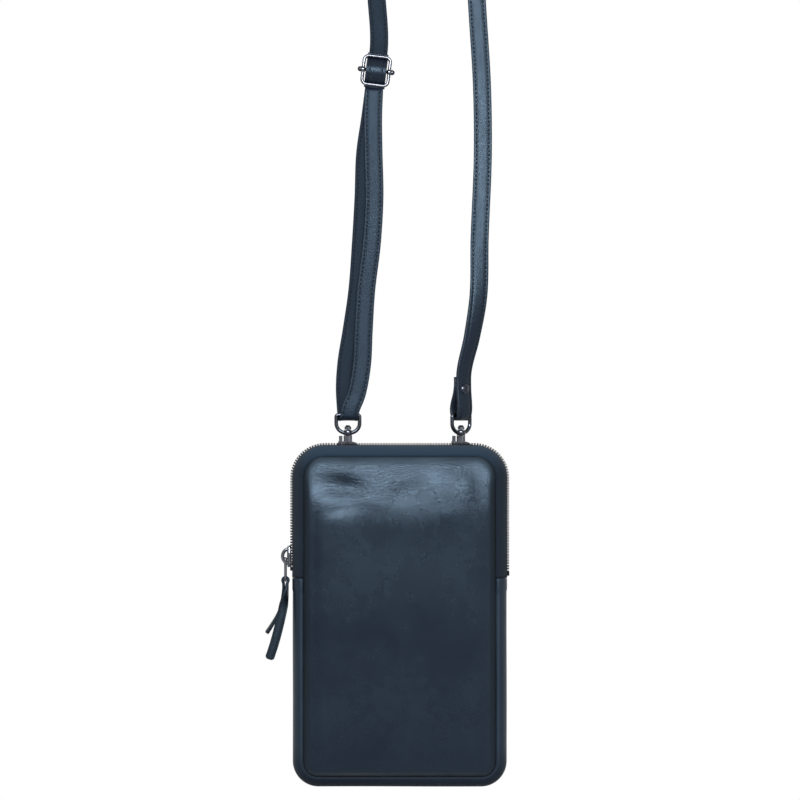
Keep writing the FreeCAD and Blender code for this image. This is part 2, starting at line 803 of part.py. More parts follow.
def make_tab(name, side):
    """A leather strip looped over the hook's claw, its two ends sewn flat to the back panel."""
    body = new_body(name)
    front = panel_outer + size("tab_gap")
    ring_depth = front + tab_outer
    ring_height = rod_height - size("tab_slack")
    back = front + size("tab_thickness") * 2
    reach = ring_depth - back
    join = ring_height - (tab_outer * tab_outer - reach * reach).root()
    low = ring_height - size("tab_tail")
    sketch = new_sketch(body, "YZ_Plane")
    draw(sketch, [
        ("line", (front, low)),
        ("arc", (front, ring_height), (ring_depth, ring_height), tab_outer, False),
        ("line", (back, join)),
        ("line", (back, low)),
    ])
    draw_circle(sketch, (ring_depth, ring_height), size("tab_bore") / 2)
    pad(body, sketch, size("tab_width"), middle=True)
    keep(name, body, side)


def make_hook_body(name, side):
    body = new_body(name)
    sketch = new_sketch(body, "XZ_Plane")
    head = size("head_radius")
    head_round = size("head_round")
    head_top = size("head_top")
    draw(sketch, [
        ("line", (0, 0)),
        ("line", (size("collar_radius"), 0)),
        ("line", (size("collar_radius"), size("collar_height"))),
        ("line", (size("post_radius"), size("collar_height"))),
        ("line", (size("post_radius"), size("post_top"))),
        ("line", (head, size("post_top"))),
        ("line", (head, head_top - head_round)),
        ("line", (head - head_round, head_top)),
        ("line", (0, head_top)),
    ])
    revolve(body, sketch)
    sketch = new_sketch(body, "XZ_Plane")
    draw(sketch, rectangle(-size("hub_left"), size("hub_right"), -size("hub_depth"), 0))
    pad(body, sketch, size("hub_thickness"), middle=True)
    half = size("claw_half_width")
    bend = size("claw_round")
    top = -size("claw_top")
    low = -size("claw_depth")
    wire = size("claw_wire") / 2
    level_wire(body, top, 0, half - bend, wire)
    bend_wire(body, half, half - bend, top - bend, wire, True)
    upright_wire(body, half, low + bend, top - bend, wire)
    bend_wire(body, half, half - bend, low + bend, wire, False)
    level_wire(body, low, bend - half, half - bend, wire)
    bend_wire(body, -half, bend - half, low + bend, wire, False)
    upright_wire(body, -half, low + bend, -size("claw_tip"), wire)
    over = size("overrun")
    sketch = new_sketch(body, "XZ_Plane")
    draw(sketch, rectangle(-size("hub_left") - over, -size("slot_end"), -size("hub_depth") - over, 0))
    pocket(body, sketch, size("hub_slot"))
    sketch = new_sketch(body, "XZ_Plane")
    draw_circle(sketch, (-size("gate_pivot_side"), -size("gate_pivot_drop")), size("pin_radius") + size("pin_fit"))
    pocket(body, sketch, size("hub_thickness") + over)
    keep(name, body, side, hook_depth, hook_height)


def make_gate(name, side):
    """The sprung gate: thumb lever above its pin, and the bar that closes the claw below."""
    pivot = -size("gate_pivot_side")
    drop = -size("gate_pivot_drop")
    hub = size("gate_hub")
    shoulder = hub * GATE_SHOULDER_SHARE
    lever = size("lever_bar") / 2
    bar_out = -size("claw_half_width") - size("gate_bar") / 2
    bar_in = bar_out + size("gate_bar")
    body = new_body(name)
    sketch = new_sketch(body, "XZ_Plane")
    draw(sketch, polygon(
        (pivot - lever, size("lever_top")), (pivot + lever, size("lever_top")),
        (pivot + lever, drop + hub), (pivot + hub, drop + shoulder), (pivot + hub, drop - shoulder),
        (bar_in, drop - hub * 2), (bar_in, -size("gate_end")), (bar_out, -size("gate_end")),
        (bar_out, drop - hub * 2), (pivot - hub, drop - shoulder), (pivot - hub, drop + shoulder),
        (pivot - lever, drop + hub)))
    draw_circle(sketch, (pivot, drop), size("pin_radius") + size("pin_fit"))
    pad(body, sketch, size("gate_thickness"), middle=True)
    keep(name, body, side, hook_depth, hook_height)


def make_gate_fittings(prefix, side):
    pin = doc.addObject("Part::Cylinder", prefix + "_gate_pin")
    bind(pin, "Radius", size("pin_radius"))
    bind(pin, "Height", size("hub_thickness"))
    keep(prefix + "_gate_pin", pin, side - size("gate_pivot_side"), hook_depth - size("hub_thickness") / 2,
         hook_height - size("gate_pivot_drop"), Rotation(Vector(1, 0, 0), -90))
    leaf = doc.addObject("Part::Box", prefix + "_gate_spring")
    bind(leaf, "Length", size("spring_leaf"))
    bind(leaf, "Width", size("spring_width"))
    bind(leaf, "Height", size("hub_depth") - size("spring_gap") * 2)
    keep(prefix + "_gate_spring", leaf, side - size("slot_end") - size("spring_gap") - size("spring_leaf"),
         hook_depth - size("spring_width") / 2, hook_height - size("hub_depth") + size("spring_gap"))


def make_eye(name, side, turn):
    """The D of wire that holds the strap, with the boss that the hook's post swivels in."""
    body = new_body(name)
    wire_loop(body, size("eye_width"), size("eye_low"), size("eye_high"), size("eye_low_round"),
              size("eye_high_round"), size("eye_wire"))
    low = size("collar_height") + size("boss_gap")
    high = size("post_top") - size("boss_gap")
    sketch = new_sketch(body, "XY_Plane", low)
    draw_circle(sketch, (0, 0), size("boss_radius"))
    pad(body, sketch, high - low)
    sketch = new_sketch(body, "XY_Plane", low)
    draw_circle(sketch, (0, 0), size("post_radius") + size("boss_fit"))
    pocket(body, sketch, (high - low + size("overrun")) * 2)
    keep(name, body, side, hook_depth, hook_height, Rotation(Vector(0, 0, 1), turn))


def make_left_fold():
    """The strap's bend round the left eye, with a short leg on each side."""
    body = new_body("strap_left_fold")
    sketch = new_sketch(body, "YZ_Plane")
    top = size("left_fold_height")
    draw(sketch, [
        ("line", (-fold_outer, top)),
        ("arc", (-fold_outer, 0), (0, 0), fold_outer, True),
        ("line", (fold_outer, 0)),
        ("line", (fold_outer, top)),
        ("line", (fold_inner, top)),
        ("arc", (fold_inner, 0), (0, 0), fold_inner, False),
        ("line", (-fold_inner, 0)),
        ("line", (-fold_inner, top)),
    ])
    pad(body, sketch, size("strap_width"), middle=True)
    keep("strap_left_fold", body, -size("left_hook_side"), hook_depth, bar_height)


def make_right_fold():
    """The strap's end: round the right eye, then pinched against the strap and riveted to it."""
    body = new_body("strap_right_fold")
    sketch = new_sketch(body, "YZ_Plane")
    top = size("right_fold_height")
    pinch = size("right_pinch_height")
    near = size("layer_gap") - fold_inner
    far = near + size("strap_thickness")
    draw(sketch, [
        ("line", (-fold_outer, top)),
        ("arc", (-fold_outer, 0), (0, 0), fold_outer, True),
        ("line", (fold_outer, 0)),
        ("line", (far, pinch)),
        ("line", (far, top)),
        ("line", (near, top)),
        ("line", (near, pinch)),
        ("arc", (fold_inner, 0), (0, 0), fold_inner, False),
        ("line", (-fold_inner, 0)),
        ("line", (-fold_inner, top)),
    ])
    pad(body, sketch, size("strap_width"), middle=True)
    sketch = new_sketch(body, "XZ_Plane")
    draw_circle(sketch, (0, size("rivet_height")), size("rivet_post") + size("pin_fit"))
    pocket(body, sketch, fold_outer * 4)
    turn = Rotation(Vector(0, 0, 1), number_of(size("right_eye_turn")))
    keep("strap_right_fold", body, size("right_hook_side"), hook_depth, bar_height, turn)


def make_rivet():
    """Domed cap in front, post through both layers, flat burr behind."""
    body = new_body("strap_rivet")
    sketch = new_sketch(body, "XZ_Plane")
    stack = size("strap_thickness") * 2 + size("layer_gap")
    cap = size("rivet_cap")
    post = size("rivet_post")
    burr = size("rivet_burr")
    dome = (size("rivet_cap_radius") * size("rivet_cap_radius") + cap * cap) / (cap * 2)
    play = size("pin_fit")
    shoulder = size("rivet_cap_radius") * RIVET_SHOULDER_SHARE
    draw(sketch, [
        ("line", (0, -stack - play - burr)),
        ("line", (size("rivet_burr_radius"), -stack - play - burr)),
        ("line", (size("rivet_burr_radius"), -stack - play)),
        ("line", (post, -stack - play)),
        ("line", (post, play)),
        ("line", (size("rivet_cap_radius"), play)),
        ("line", (shoulder, (dome * dome - shoulder * shoulder).root() + cap + play - dome)),
        ("line", (0, cap + play)),
    ])
    revolve(body, sketch)
    spin = Rotation(Vector(0, 0, 1), number_of(size("right_eye_turn")))
    out = spin.multVec(Vector(0, -number_of(fold_outer), 0))
    keep("strap_rivet", body, size("right_hook_side") + out.x, hook_depth + out.y,
         bar_height + size("rivet_height"), spin.multiply(Rotation(Vector(1, 0, 0), 90)))


def strand_shape(name, stations):
    """A flat strap run lofted through (x, y, z, turn) stations."""
    width = number_of(size("strap_width"))
    thickness = number_of(size("strap_thickness"))
    wires = [rectangle_wire(Vector(x, y, z), width, thickness, turn) for x, y, z, turn in stations]
    feature = doc.addObject("Part::Feature", name)
    feature.Shape = Part.makeLoft(wires, True, False)
    keep(name, feature)


def between(start, end, share):
    return start + (end - start) * share


def eased(share):
    share = min(max(share, 0), 1)
    return share * share * (3 - 2 * share)


def strand_stations(start, end, shares, sway, turn_at, bow=0):
    """Stations from one end of a strand to the other, swaying sideways by shares of a size and bowing back."""
    stations = []
    low, middle, high = BOW_SHARES
    for height, side in ((0, 0),) + tuple(shares) + ((1, 0),):
        x, y, z = (between(start[axis], end[axis], height) for axis in range(3))
        back = eased((height - low) / (middle - low)) * (1 - eased((height - middle) / (high - middle)))
        stations.append((x + side * sway, y + bow * back, z, turn_at(height)))
    return stations


def make_strap_runs():
    gap = number_of(size("strap_joint_gap"))
    depth = number_of(hook_depth)
    leg = number_of(fold_inner + size("strap_thickness") / 2)
    bar = number_of(bar_height)
    spring_line = number_of(size("crown_height") - size("crown_radius"))
    crown = number_of(size("crown_side"))
    radius = number_of(size("crown_radius") + size("strap_thickness") / 2)
    turn = number_of(size("right_eye_turn"))
    out = Rotation(Vector(0, 0, 1), turn).multVec(Vector(0, -leg, 0))
    start = (number_of(size("right_hook_side")) + out.x, depth + out.y,
             bar + number_of(size("right_fold_height")) + gap)
    end = (crown + radius, depth, spring_line - gap)

    def right_turn(height):
        unturn = turn * (1 - eased(height / UNTURN_SHARE))
        return unturn + 90 * eased((height - TURN_SHARES[0]) / (TURN_SHARES[1] - TURN_SHARES[0]))

    strand_shape("strap_right_run", strand_stations(start, end, RIGHT_STRAND_SHARES,
                                                    number_of(size("right_sway")), right_turn,
                                                    number_of(size("right_bow"))))

    tilt = math.radians(number_of(size("buckle_tilt")))
    half = number_of(size("weave_half"))
    middle = number_of(size("buckle_height"))
    side = -number_of(size("buckle_side"))
    slant = number_of(size("strap_width")) / 2 * math.sin(tilt) + gap
    rest = number_of(buckle_depth + weave_rest)
    over = (side + half * math.sin(tilt), rest, middle + half * math.cos(tilt) + slant)
    under = (side - half * math.sin(tilt), rest, middle - half * math.cos(tilt) - slant)
    end = (crown - radius, depth, spring_line - gap)
    room = number_of(size("slide_room"))
    share = room / (end[2] - over[2])
    meet = tuple(between(over[axis], end[axis], share) for axis in range(3))

    def no_turn(height):
        return 0

    def left_turn(height):
        return -90 * eased(height / TURN_SHARES[1])

    strand_shape("strap_slide_run", strand_stations(over, meet, (), 0, no_turn))
    above = (meet[0], meet[1], meet[2] + gap)
    steps = tuple((number / 8, 0) for number in range(1, 8))
    strand_shape("strap_left_run", strand_stations(above, end, steps, 0, left_turn))

    fold_top = bar + number_of(size("left_fold_height")) + gap
    hook = -number_of(size("left_hook_side"))
    strand_shape("strap_adjust_run", strand_stations((hook, depth - leg, fold_top), under, ADJUST_STRAND_SHARES,
                                                     number_of(size("adjust_sway")), no_turn))
    layer = number_of(size("strap_thickness") + size("layer_gap"))
    strand_shape("strap_return_run", strand_stations((hook, depth + leg, fold_top),
                                                     (under[0], under[1] + layer, under[2]), RETURN_STRAND_SHARES,
                                                     number_of(size("return_sway")), no_turn))


def make_crown():
    """The half turn at the top, where the strap lies flat on what it hangs from."""
    body = new_body("strap_crown")
    inner = size("crown_radius")
    outer = inner + size("strap_thickness")
    spring_line = size("crown_height") - inner
    middle = size("crown_side")
    sketch = new_sketch(body, "XZ_Plane", -hook_depth)
    draw(sketch, [
        ("line", (middle + inner, spring_line)),
        ("arc", (middle + outer, spring_line), (middle, spring_line), outer, True),
        ("line", (middle - outer, spring_line)),
        ("arc", (middle - inner, spring_line), (middle, spring_line), inner, False),
    ])
    pad(body, sketch, size("strap_width"), middle=True)
    keep("strap_crown", body)


def buckle_turn():
    return Rotation(Vector(0, 1, 0), number_of(size("buckle_tilt")))


def keep_on_buckle(name, thing):
    keep(name, thing, -size("buckle_side"), buckle_depth, size("buckle_height"), buckle_turn())


def make_buckle():
    body = new_body("buckle_frame")
    half = size("frame_length") / 2
    wire = size("frame_wire")
    wire_loop(body, size("frame_width"), -half, half, size("frame_round"), size("frame_round"), wire)
    boss = size("frame_boss")
    reach = size("frame_width") / 2 - wire / 2
    for side in (-1, 1):
        sketch = new_sketch(body, "YZ_Plane", reach * side)
        draw_circle(sketch, (0, 0), size("frame_boss_radius"))
        pad(body, sketch, boss, middle=True)
    sketch = new_sketch(body, "YZ_Plane")
    draw_circle(sketch, (0, 0), size("bar_radius") + size("bar_fit"))
    pocket(body, sketch, size("frame_width") + boss * 2)
    keep_on_buckle("buckle_frame", body)

    ball = size("bar_ball_radius")
    bar = size("bar_radius")
    seat = reach + boss / 2 + size("bar_fit")
    neck = (ball * ball - bar * bar).root()
    body = new_body("buckle_bar")
    sketch = new_sketch(body, "XZ_Plane")
    crowns = [(ball * math.cos(math.pi * share), ball * math.sin(math.pi * share)) for share in BALL_TURN_SHARES]
    left = [(-seat - neck + along, out) for along, out in crowns]
    right = [(seat + neck - along, out) for along, out in reversed(crowns)]
    draw(sketch, polygon((-seat, bar), *left, (-seat - neck - ball, 0), (seat + neck + ball, 0), *right, (seat, bar)))
    revolve(body, sketch, "H_Axis")
    keep_on_buckle("buckle_bar", body)


def make_weave():
    """The strap's wave through the buckle: behind its upper wire, over its bar, behind its lower wire."""
    width = number_of(size("strap_width"))
    thickness = number_of(size("strap_thickness"))
    wire_at = number_of(size("frame_length") / 2 - size("frame_wire") / 2)
    half = number_of(size("weave_half"))
    rest = number_of(weave_rest)
    crest = number_of(weave_crest)
    wires = []
    steps = 16
    for step in range(steps + 1):
        height = half * (2 * step / steps - 1)
        wave = math.cos(math.pi * min(abs(height) / wire_at, 1))
        depth = (rest - crest) / 2 - wave * (rest + crest) / 2
        wires.append(rectangle_wire(Vector(0, depth, height), width, thickness, 0))
    feature = doc.addObject("Part::Feature", "strap_weave")
    feature.Shape = Part.makeLoft(wires, True, False)
    keep_on_buckle("strap_weave", feature)


def make_return_loop():
    """The strap's sewn end, looped round the buckle's bar and leading down behind the strap."""
    bore = size("bar_radius") + size("loop_play")
    layer = size("strap_thickness")
    near = weave_rest + layer / 2 + size("layer_gap")
    bend = (size("frame_length") / 2 - size("frame_wire") / 2) * LOOP_BEND_SHARE
    body = new_body("strap_return_loop")
    sketch = new_sketch(body, "YZ_Plane")
    draw(sketch, polygon((loop_radius - layer, 0), (loop_radius, 0), (near + layer, -bend),
                         (near + layer, -size("weave_half")), (near, -size("weave_half")), (near, -bend)))
    pad(body, sketch, size("strap_width"), middle=True)
    sketch = new_sketch(body, "YZ_Plane")
    draw_circle(sketch, (0, 0), loop_radius)
    pad(body, sketch, size("strap_width"), middle=True)
    sketch = new_sketch(body, "YZ_Plane")
    draw_circle(sketch, (0, 0), bore)
    pocket(body, sketch, size("strap_width") + size("overrun"))
    keep_on_buckle("strap_return_loop", body)


make_panels()
make_gusset()
make_tape("zip_tape_front", True)
make_tape("zip_tape_back", False)
make_teeth("zip_teeth_front", True)
make_teeth("zip_teeth_back", False)
make_stops()
make_slider()
make_link()
make_pull()
for hand, hook_side, eye_turn in (("left", -size("left_hook_side"), 0),
                                  ("right", size("right_hook_side"), number_of(size("right_eye_turn")))):
    make_tab(f"{hand}_tab", hook_side)
    make_hook_body(f"{hand}_hook_body", hook_side)
    make_gate(f"{hand}_hook_gate", hook_side)
    make_gate_fittings(hand, hook_side)
    make_eye(f"{hand}_swivel_eye", hook_side, eye_turn)
make_left_fold()
make_right_fold()
make_rivet()
make_strap_runs()
make_crown()
make_buckle()
make_weave()
make_return_loop()
doc.recompute()

failed = [thing.Name for thing in doc.Objects if {"Invalid", "Error"} & set(thing.State)]
failed += [name for name, thing in NODES.items() if thing.Shape.isNull() or not thing.Shape.isValid()]
if failed:
    raise RuntimeError("failed sub-parts: " + ", ".join(failed))

os.makedirs("parts", exist_ok=True)
for name, thing in NODES.items():
    thing.Shape.exportStep(f"parts/{name}.step")
print(len(NODES), "sub-parts written")
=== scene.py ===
"""Looks of the leather phone pouch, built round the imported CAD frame.

Lengths are in millimetres, and heights start at the pouch's lowest edge; at() gives the frame's metres.
"""
import math

import bpy
import numpy as np
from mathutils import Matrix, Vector


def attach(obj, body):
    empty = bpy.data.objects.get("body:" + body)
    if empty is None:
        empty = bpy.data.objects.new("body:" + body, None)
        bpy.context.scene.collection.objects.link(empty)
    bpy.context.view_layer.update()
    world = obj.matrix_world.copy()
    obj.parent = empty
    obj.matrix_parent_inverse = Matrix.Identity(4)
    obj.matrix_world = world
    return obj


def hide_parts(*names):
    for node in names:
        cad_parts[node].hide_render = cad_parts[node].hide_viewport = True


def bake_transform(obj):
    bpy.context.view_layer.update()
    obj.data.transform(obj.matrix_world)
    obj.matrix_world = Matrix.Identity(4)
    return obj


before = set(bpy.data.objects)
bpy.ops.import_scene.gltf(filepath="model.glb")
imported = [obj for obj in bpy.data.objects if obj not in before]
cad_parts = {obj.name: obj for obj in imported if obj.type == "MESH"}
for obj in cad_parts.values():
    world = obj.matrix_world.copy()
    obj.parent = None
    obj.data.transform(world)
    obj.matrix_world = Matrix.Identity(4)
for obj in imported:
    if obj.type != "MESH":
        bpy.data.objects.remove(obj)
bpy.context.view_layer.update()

ORIGIN = np.array((6.0, 14.05, 625.0))

# Camera and stage
SENSOR = 36.0
CAMERA_DISTANCE = 2200.0
VIEW_WIDTH = 436.0
VIEW_CENTRE = (0.14, 210.6)
FLOOR_HEIGHT = -40.0
FLOOR_REACH = 6000.0
WHITE = (1, 1, 1, 1)

# Pouch, as in the CAD source
HALF_WIDTH = 52.2
PANEL_LOW = 6.1
PANEL_HIGH = 179.7
PANEL_MIDDLE = (PANEL_LOW + PANEL_HIGH) / 2
TOP_ROUND = 11.5
BOTTOM_ROUND = 8.0
ZIP_END = 113.9
ZIP_GAP = 0.15
SEAM = 8.0

# Depths from the pouch's middle: the panels' seats and inner faces, the linings' two faces
PANEL_SEAT = 7.35
PANEL_INSIDE = 7.2
LINING_DEPTHS = (7.1, 6.75)
LINING_INSET = 2.0

# Side wall and zip: distances out from the seam line, heights, and the slider's places
GUSSET_BULGE = 6.1
TAPE_BULGE = 6.6
WALL_EDGE = 7.9
WALL_FOOT = 0.3
LAP_HEIGHT = 106.8
LAP_GROOVE = 108.6
TOOTH_FOOT = 5.3
TOOTH_LINE = 6.8
TOOTH_PITCH = 3.0
BEAD_POINTS = 10
SLIDER_HEIGHT = 125.5
SLIDER_HALF_LENGTH = 5.85
SLIDER_FOOT = -59.2
BAIL_PLACE = -59.65
BAIL_RADIUS = 4.2
LINK_PLACE = -62.25

# Strap and its fittings
HOOK_DEPTH = 14.05
EYE_BASE = 188.0
BAR_HEIGHT = 202.5
LOOP_FOOT = 206.2
RIVET_HEIGHT = 216.6
LEG = 2.25
STRAP_WIDTH = 10.0
STRAP_THICKNESS = 1.8
LEFT_HOOK = -28.4
RIGHT_HOOK = 33.6
RIGHT_TURN = 40.0
RIGHT_OUT = np.array((math.sin(math.radians(RIGHT_TURN)), -math.cos(math.radians(RIGHT_TURN)), 0))
CROWN_PLACE = 6.0
CROWN_HEIGHT = 601.0
CROWN_RADIUS = 24.9
RUN_START = 223.4
RUN_TOP = 600.8
TAB_WIDTH = 5.0
TAB_THICKNESS = 1.35
TAB_INNER = 10.75
TAB_OUTER = 12.15
TAB_FOOT = 155.1
LEVEL = np.array((1.0, 0, 0))

# Buckle, tilted in the picture's plane, and where the strap enters, leaves and meets its upper run
BUCKLE = np.array((-12.9, 11.15, 391.0))
TILT = math.radians(7.0)
UP = np.array((math.sin(TILT), 0, math.cos(TILT)))
SIDE = np.array((math.cos(TILT), 0, -math.sin(TILT)))
WEAVE_REST = np.array((0, 1.95, 0))
WEAVE_REACH = 9.5
WEAVE_WIDTH = 11.4
SEWN_END_THICKNESS = 1.15
OVER = BUCKLE + UP * WEAVE_REACH + WEAVE_REST
UNDER = BUCKLE - UP * WEAVE_REACH + WEAVE_REST
MEET = np.array((-14.253, 13.433, 471.24))

# Points along strap lines, on bends and round wires
LINE_STEP = 2.2
BEND_POINTS = 13
CORNER_POINTS = 25
WIRE_SIDES = 20
LATHE_SIDES = 28
STITCH_SIDES = 5
STRIP_UNIT = 10.0

# Texture scales, in repeats to the metre
DYE_CLOUDS = 22.0
PEBBLES = 1100.0
PORES = 3200.0
RUBBING = 160.0
CREASE_PATCHES = 28.0
CREASE_WARP = 420.0
CREASE_CELLS = 620.0


def at(point):
    """Pouch millimetres to the frame's metres."""
    return tuple((np.asarray(point, float) - ORIGIN) / 1000)


def eased(share):
    """A share from 0 to 1 that starts and stops gently."""
    share = np.clip(share, 0, 1)
    return share * share * (3 - 2 * share)


# Node tools


def feed(made, inputs):
    """Set a node's inputs, each to a plain value or from another node's socket."""
    for key, value in inputs.items():
        if isinstance(value, bpy.types.NodeSocket):
            made.id_data.links.new(value, made.inputs[key])
        else:
            made.inputs[key].default_value = value


def node(tree, kind, inputs=None, **props):
    """A shader node with its properties and inputs set."""
    made = tree.nodes.new("ShaderNode" + kind)
    for key, value in props.items():
        setattr(made, key, value)
    feed(made, inputs or {})
    return made


def new_material(name):
    """A material with its tree, its shader and the place on the object."""
    made = bpy.data.materials.new(name)
    made.use_nodes = True
    tree = made.node_tree
    return made, tree, tree.nodes["Principled BSDF"], node(tree, "TexCoord").outputs["Object"]


def ramp(factor, low, high):
    made = node(factor.id_data, "ValToRGB", {"Fac": factor})
    for stop, (place, colour) in zip(made.color_ramp.elements, (low, high)):
        stop.position = place
        stop.color = (*colour, 1)
    return made.outputs["Color"]


def spread(value, low, high, to_low=0.0, to_high=1.0, **props):
    inputs = {"Value": value, "From Min": low, "From Max": high, "To Min": to_low, "To Max": to_high}
    return node(value.id_data, "MapRange", inputs, **props).outputs["Result"]


def combine(operation, first, second):
    return node(first.id_data, "Math", {0: first, 1: second}, operation=operation).outputs[0]


def weighted(first, first_share, second, second_share):
    """The sum of two values in the given shares."""
    return combine("ADD", combine("MULTIPLY", first, first_share), combine("MULTIPLY", second, second_share))


def mixed_colour(share, first, second):
    return node(share.id_data, "Mix", {0: share, 6: first, 7: second}, data_type="RGBA").outputs[2]


def noise(where, scale, detail=3.0, distortion=0.0):
    inputs = {"Vector": where, "Scale": scale, "Detail": detail, "Distortion": distortion}
    return node(where.id_data, "TexNoise", inputs).outputs["Fac"]


def cell_edges(where, scale, reach, randomness=1.0):
    """0 on the edges of random cells, rising to 1 at the given distance from them."""
    inputs = {"Vector": where, "Scale": scale, "Randomness": randomness}
    cells = node(where.id_data, "TexVoronoi", inputs, feature="DISTANCE_TO_EDGE")
    return spread(cells.outputs["Distance"], 0.0, reach)


def height_mask(where, levels, **props):
    """0 below the first of two heights and 1 above the second."""
    low, high = (at((0, 0, level))[2] for level in levels)
    place = node(where.id_data, "SeparateXYZ", {0: where})
    return spread(place.outputs["Z"], low, high, **props)


def set_bump(shader, height, strength, distance):
    made = node(height.id_data, "Bump", {"Height": height, "Strength": strength, "Distance": distance})
    feed(shader, {"Normal": made.outputs["Normal"]})


def seen_background(tree):
    """1 for rays that show the background, straight, mirrored or through glass."""
    path = node(tree, "LightPath")
    mirrored = combine("MAXIMUM", path.outputs["Is Glossy Ray"], path.outputs["Is Transmission Ray"])
    return combine("MAXIMUM", path.outputs["Is Camera Ray"], mirrored)


def show_mix(share, first, second):
    tree = share.id_data
    mixed = node(tree, "MixShader", {0: share, 1: first.outputs[0], 2: second.outputs[0]})
    feed(tree.nodes["Material Output"], {"Surface": mixed.outputs[0]})


# Materials


def crease_height(where, levels):
    """Crinkled skin in patches, growing between two heights."""
    patch = spread(noise(where, CREASE_PATCHES, 2.0), 0.35, 0.6, 0.25, 1.0)
    warped = noise(where, CREASE_WARP, 4.0, 1.6)
    skin = weighted(warped, 3.3, cell_edges(where, CREASE_CELLS, 0.14, 0.9), 1.5)
    return combine("MULTIPLY", skin, combine("MULTIPLY", height_mask(where, levels), patch))


def leather(name, dark, light, rough, grain, creased=None, specular=0.25, seam_shaded=False, shade_below=None):
    """Smooth dyed leather with a pebble grain, creased above two heights; painted shade darkens it towards a
    seam groove where asked, and below two other heights a less glossy copy is mixed in as painted shade, so
    the bottom reads darker.
    """
    made, tree, shader, where = new_material(name)
    cloud = noise(where, DYE_CLOUDS, 5.0, 0.6)
    dye = ramp(cloud, (0.32, dark), (0.7, light))
    worn = combine("ADD", cloud, combine("MULTIPLY", noise(where, RUBBING, 4.0), 0.5))
    polish = spread(worn, 0.5, 1.0, rough - 0.05, rough + 0.07)
    if seam_shaded:
        # painted shade: the seam attribute darkens the colour and dulls the gloss towards the panel's seam
        # groove
        seam = node(tree, "Attribute", attribute_name="seam").outputs["Fac"]
        dye = mixed_colour(seam, dye, (*(0.3 * part for part in dark), 1))
        polish = combine("ADD", polish, combine("MULTIPLY", seam, 0.35))
    feed(shader, {"Base Color": dye, "Roughness": polish, "Specular IOR Level": specular,
                  "Specular Tint": (0.55, 0.78, 1.0, 1)})
    pebble = cell_edges(where, PEBBLES, 0.25)
    height = weighted(pebble, 0.55, noise(where, PORES, 2.0), 0.45)
    if creased:
        height = combine("ADD", height, crease_height(where, creased))
    set_bump(shader, height, grain, 0.00022)
    # painted shade: a duller, less glossy copy of this leather is mixed in below two heights, so the bottom
    # reads darker as if light from above misses it
    if shade_below:
        grain_bump = shader.inputs["Normal"].links[0].from_socket
        shaded_copy = node(tree, "BsdfPrincipled", {"Base Color": dye, "Roughness": rough + 0.2,
                                             "Specular IOR Level": 0.05, "Normal": grain_bump})
        show_mix(height_mask(where, shade_below, interpolation_type="SMOOTHSTEP"), shaded_copy, shader)
    return made


def woven(name, dark, light, pitch, painted_light_above=None):
    """Closely woven tape: a twill over threads along and across the strip, lighter above a height as painted
    light from above.
    """
    made, tree, shader, where = new_material(name)
    strip = node(tree, "TexCoord").outputs["UV"]
    bands = {"Vector": strip, "Scale": pitch, "Distortion": 0.4, "Detail": 1.0}
    twill, warp, weft = (node(tree, "TexWave", bands, bands_direction=direction).outputs["Fac"]
                         for direction in ("DIAGONAL", "X", "Y"))
    weave = weighted(twill, 0.6, combine("MULTIPLY", warp, weft), 0.6)
    tone = weighted(weave, 0.6, noise(where, 60.0, 4.0), 0.5)
    dye = ramp(tone, (0.25, dark), (0.95, light))
    # painted light: the tape's colour is lightened above a height, where light from above falls on it
    if painted_light_above:
        dye = mixed_colour(height_mask(where, painted_light_above), dye, (*(1.9 * part for part in light), 1))
    feed(shader, {"Base Color": dye, "Roughness": spread(weave, 0.0, 1.0, 0.92, 0.78),
                  "Specular IOR Level": 0.12, "Sheen Weight": 0.03, "Sheen Roughness": 0.5})
    set_bump(shader, weave, 0.5, 0.00015)
    return made


def metal(name, dark, light, rough, scratch):
    """Plated metal with a faint haze and fine rubbed marks."""
    made, tree, shader, where = new_material(name)
    haze = noise(where, 420.0, 4.0, 0.3)
    drawn_out = node(tree, "Mapping", {"Vector": where, "Scale": (9000, 9000, 900)}).outputs[0]
    rubbed = noise(drawn_out, 1.0, 3.0)
    polish = spread(combine("ADD", haze, rubbed), 0.6, 1.4, rough * 0.7, rough * 1.5)
    feed(shader, {"Base Color": ramp(haze, (0.3, dark), (0.75, light)), "Roughness": polish,
                  "Metallic": 1.0})
    set_bump(shader, rubbed, scratch, 0.00002)
    return made


def moulded(name, dark, light, rough):
    """Dark moulded teeth, slightly mottled and dull."""
    made, _, shader, where = new_material(name)
    mottle = noise(where, 900.0, 3.0)
    feed(shader, {"Base Color": ramp(mottle, (0.35, dark), (0.7, light)),
                  "Roughness": spread(mottle, 0.3, 0.7, rough - 0.08, rough + 0.1),
                  "Specular IOR Level": 0.05})
    set_bump(shader, noise(where, 2600.0, 2.0), 0.25, 0.00004)
    return made


def thread(name, dark, light):
    """Waxed sewing thread with its twist."""
    made, tree, shader, where = new_material(name)
    twist = node(tree, "TexWave", {"Vector": where, "Scale": 700.0, "Distortion": 1.0},
                 bands_direction="DIAGONAL").outputs["Fac"]
    feed(shader, {"Base Color": ramp(twist, (0.2, dark), (0.9, light)),
                  "Roughness": spread(twist, 0.0, 1.0, 0.7, 0.5), "Specular IOR Level": 0.1})
    set_bump(shader, twist, 0.4, 0.00008)
    return made


# Heights below the whole object crease a leather all over
ALL_OVER = (-9, -8)
STRAP_DYE = ((0.0028, 0.0045, 0.0085), (0.0042, 0.0065, 0.0115))
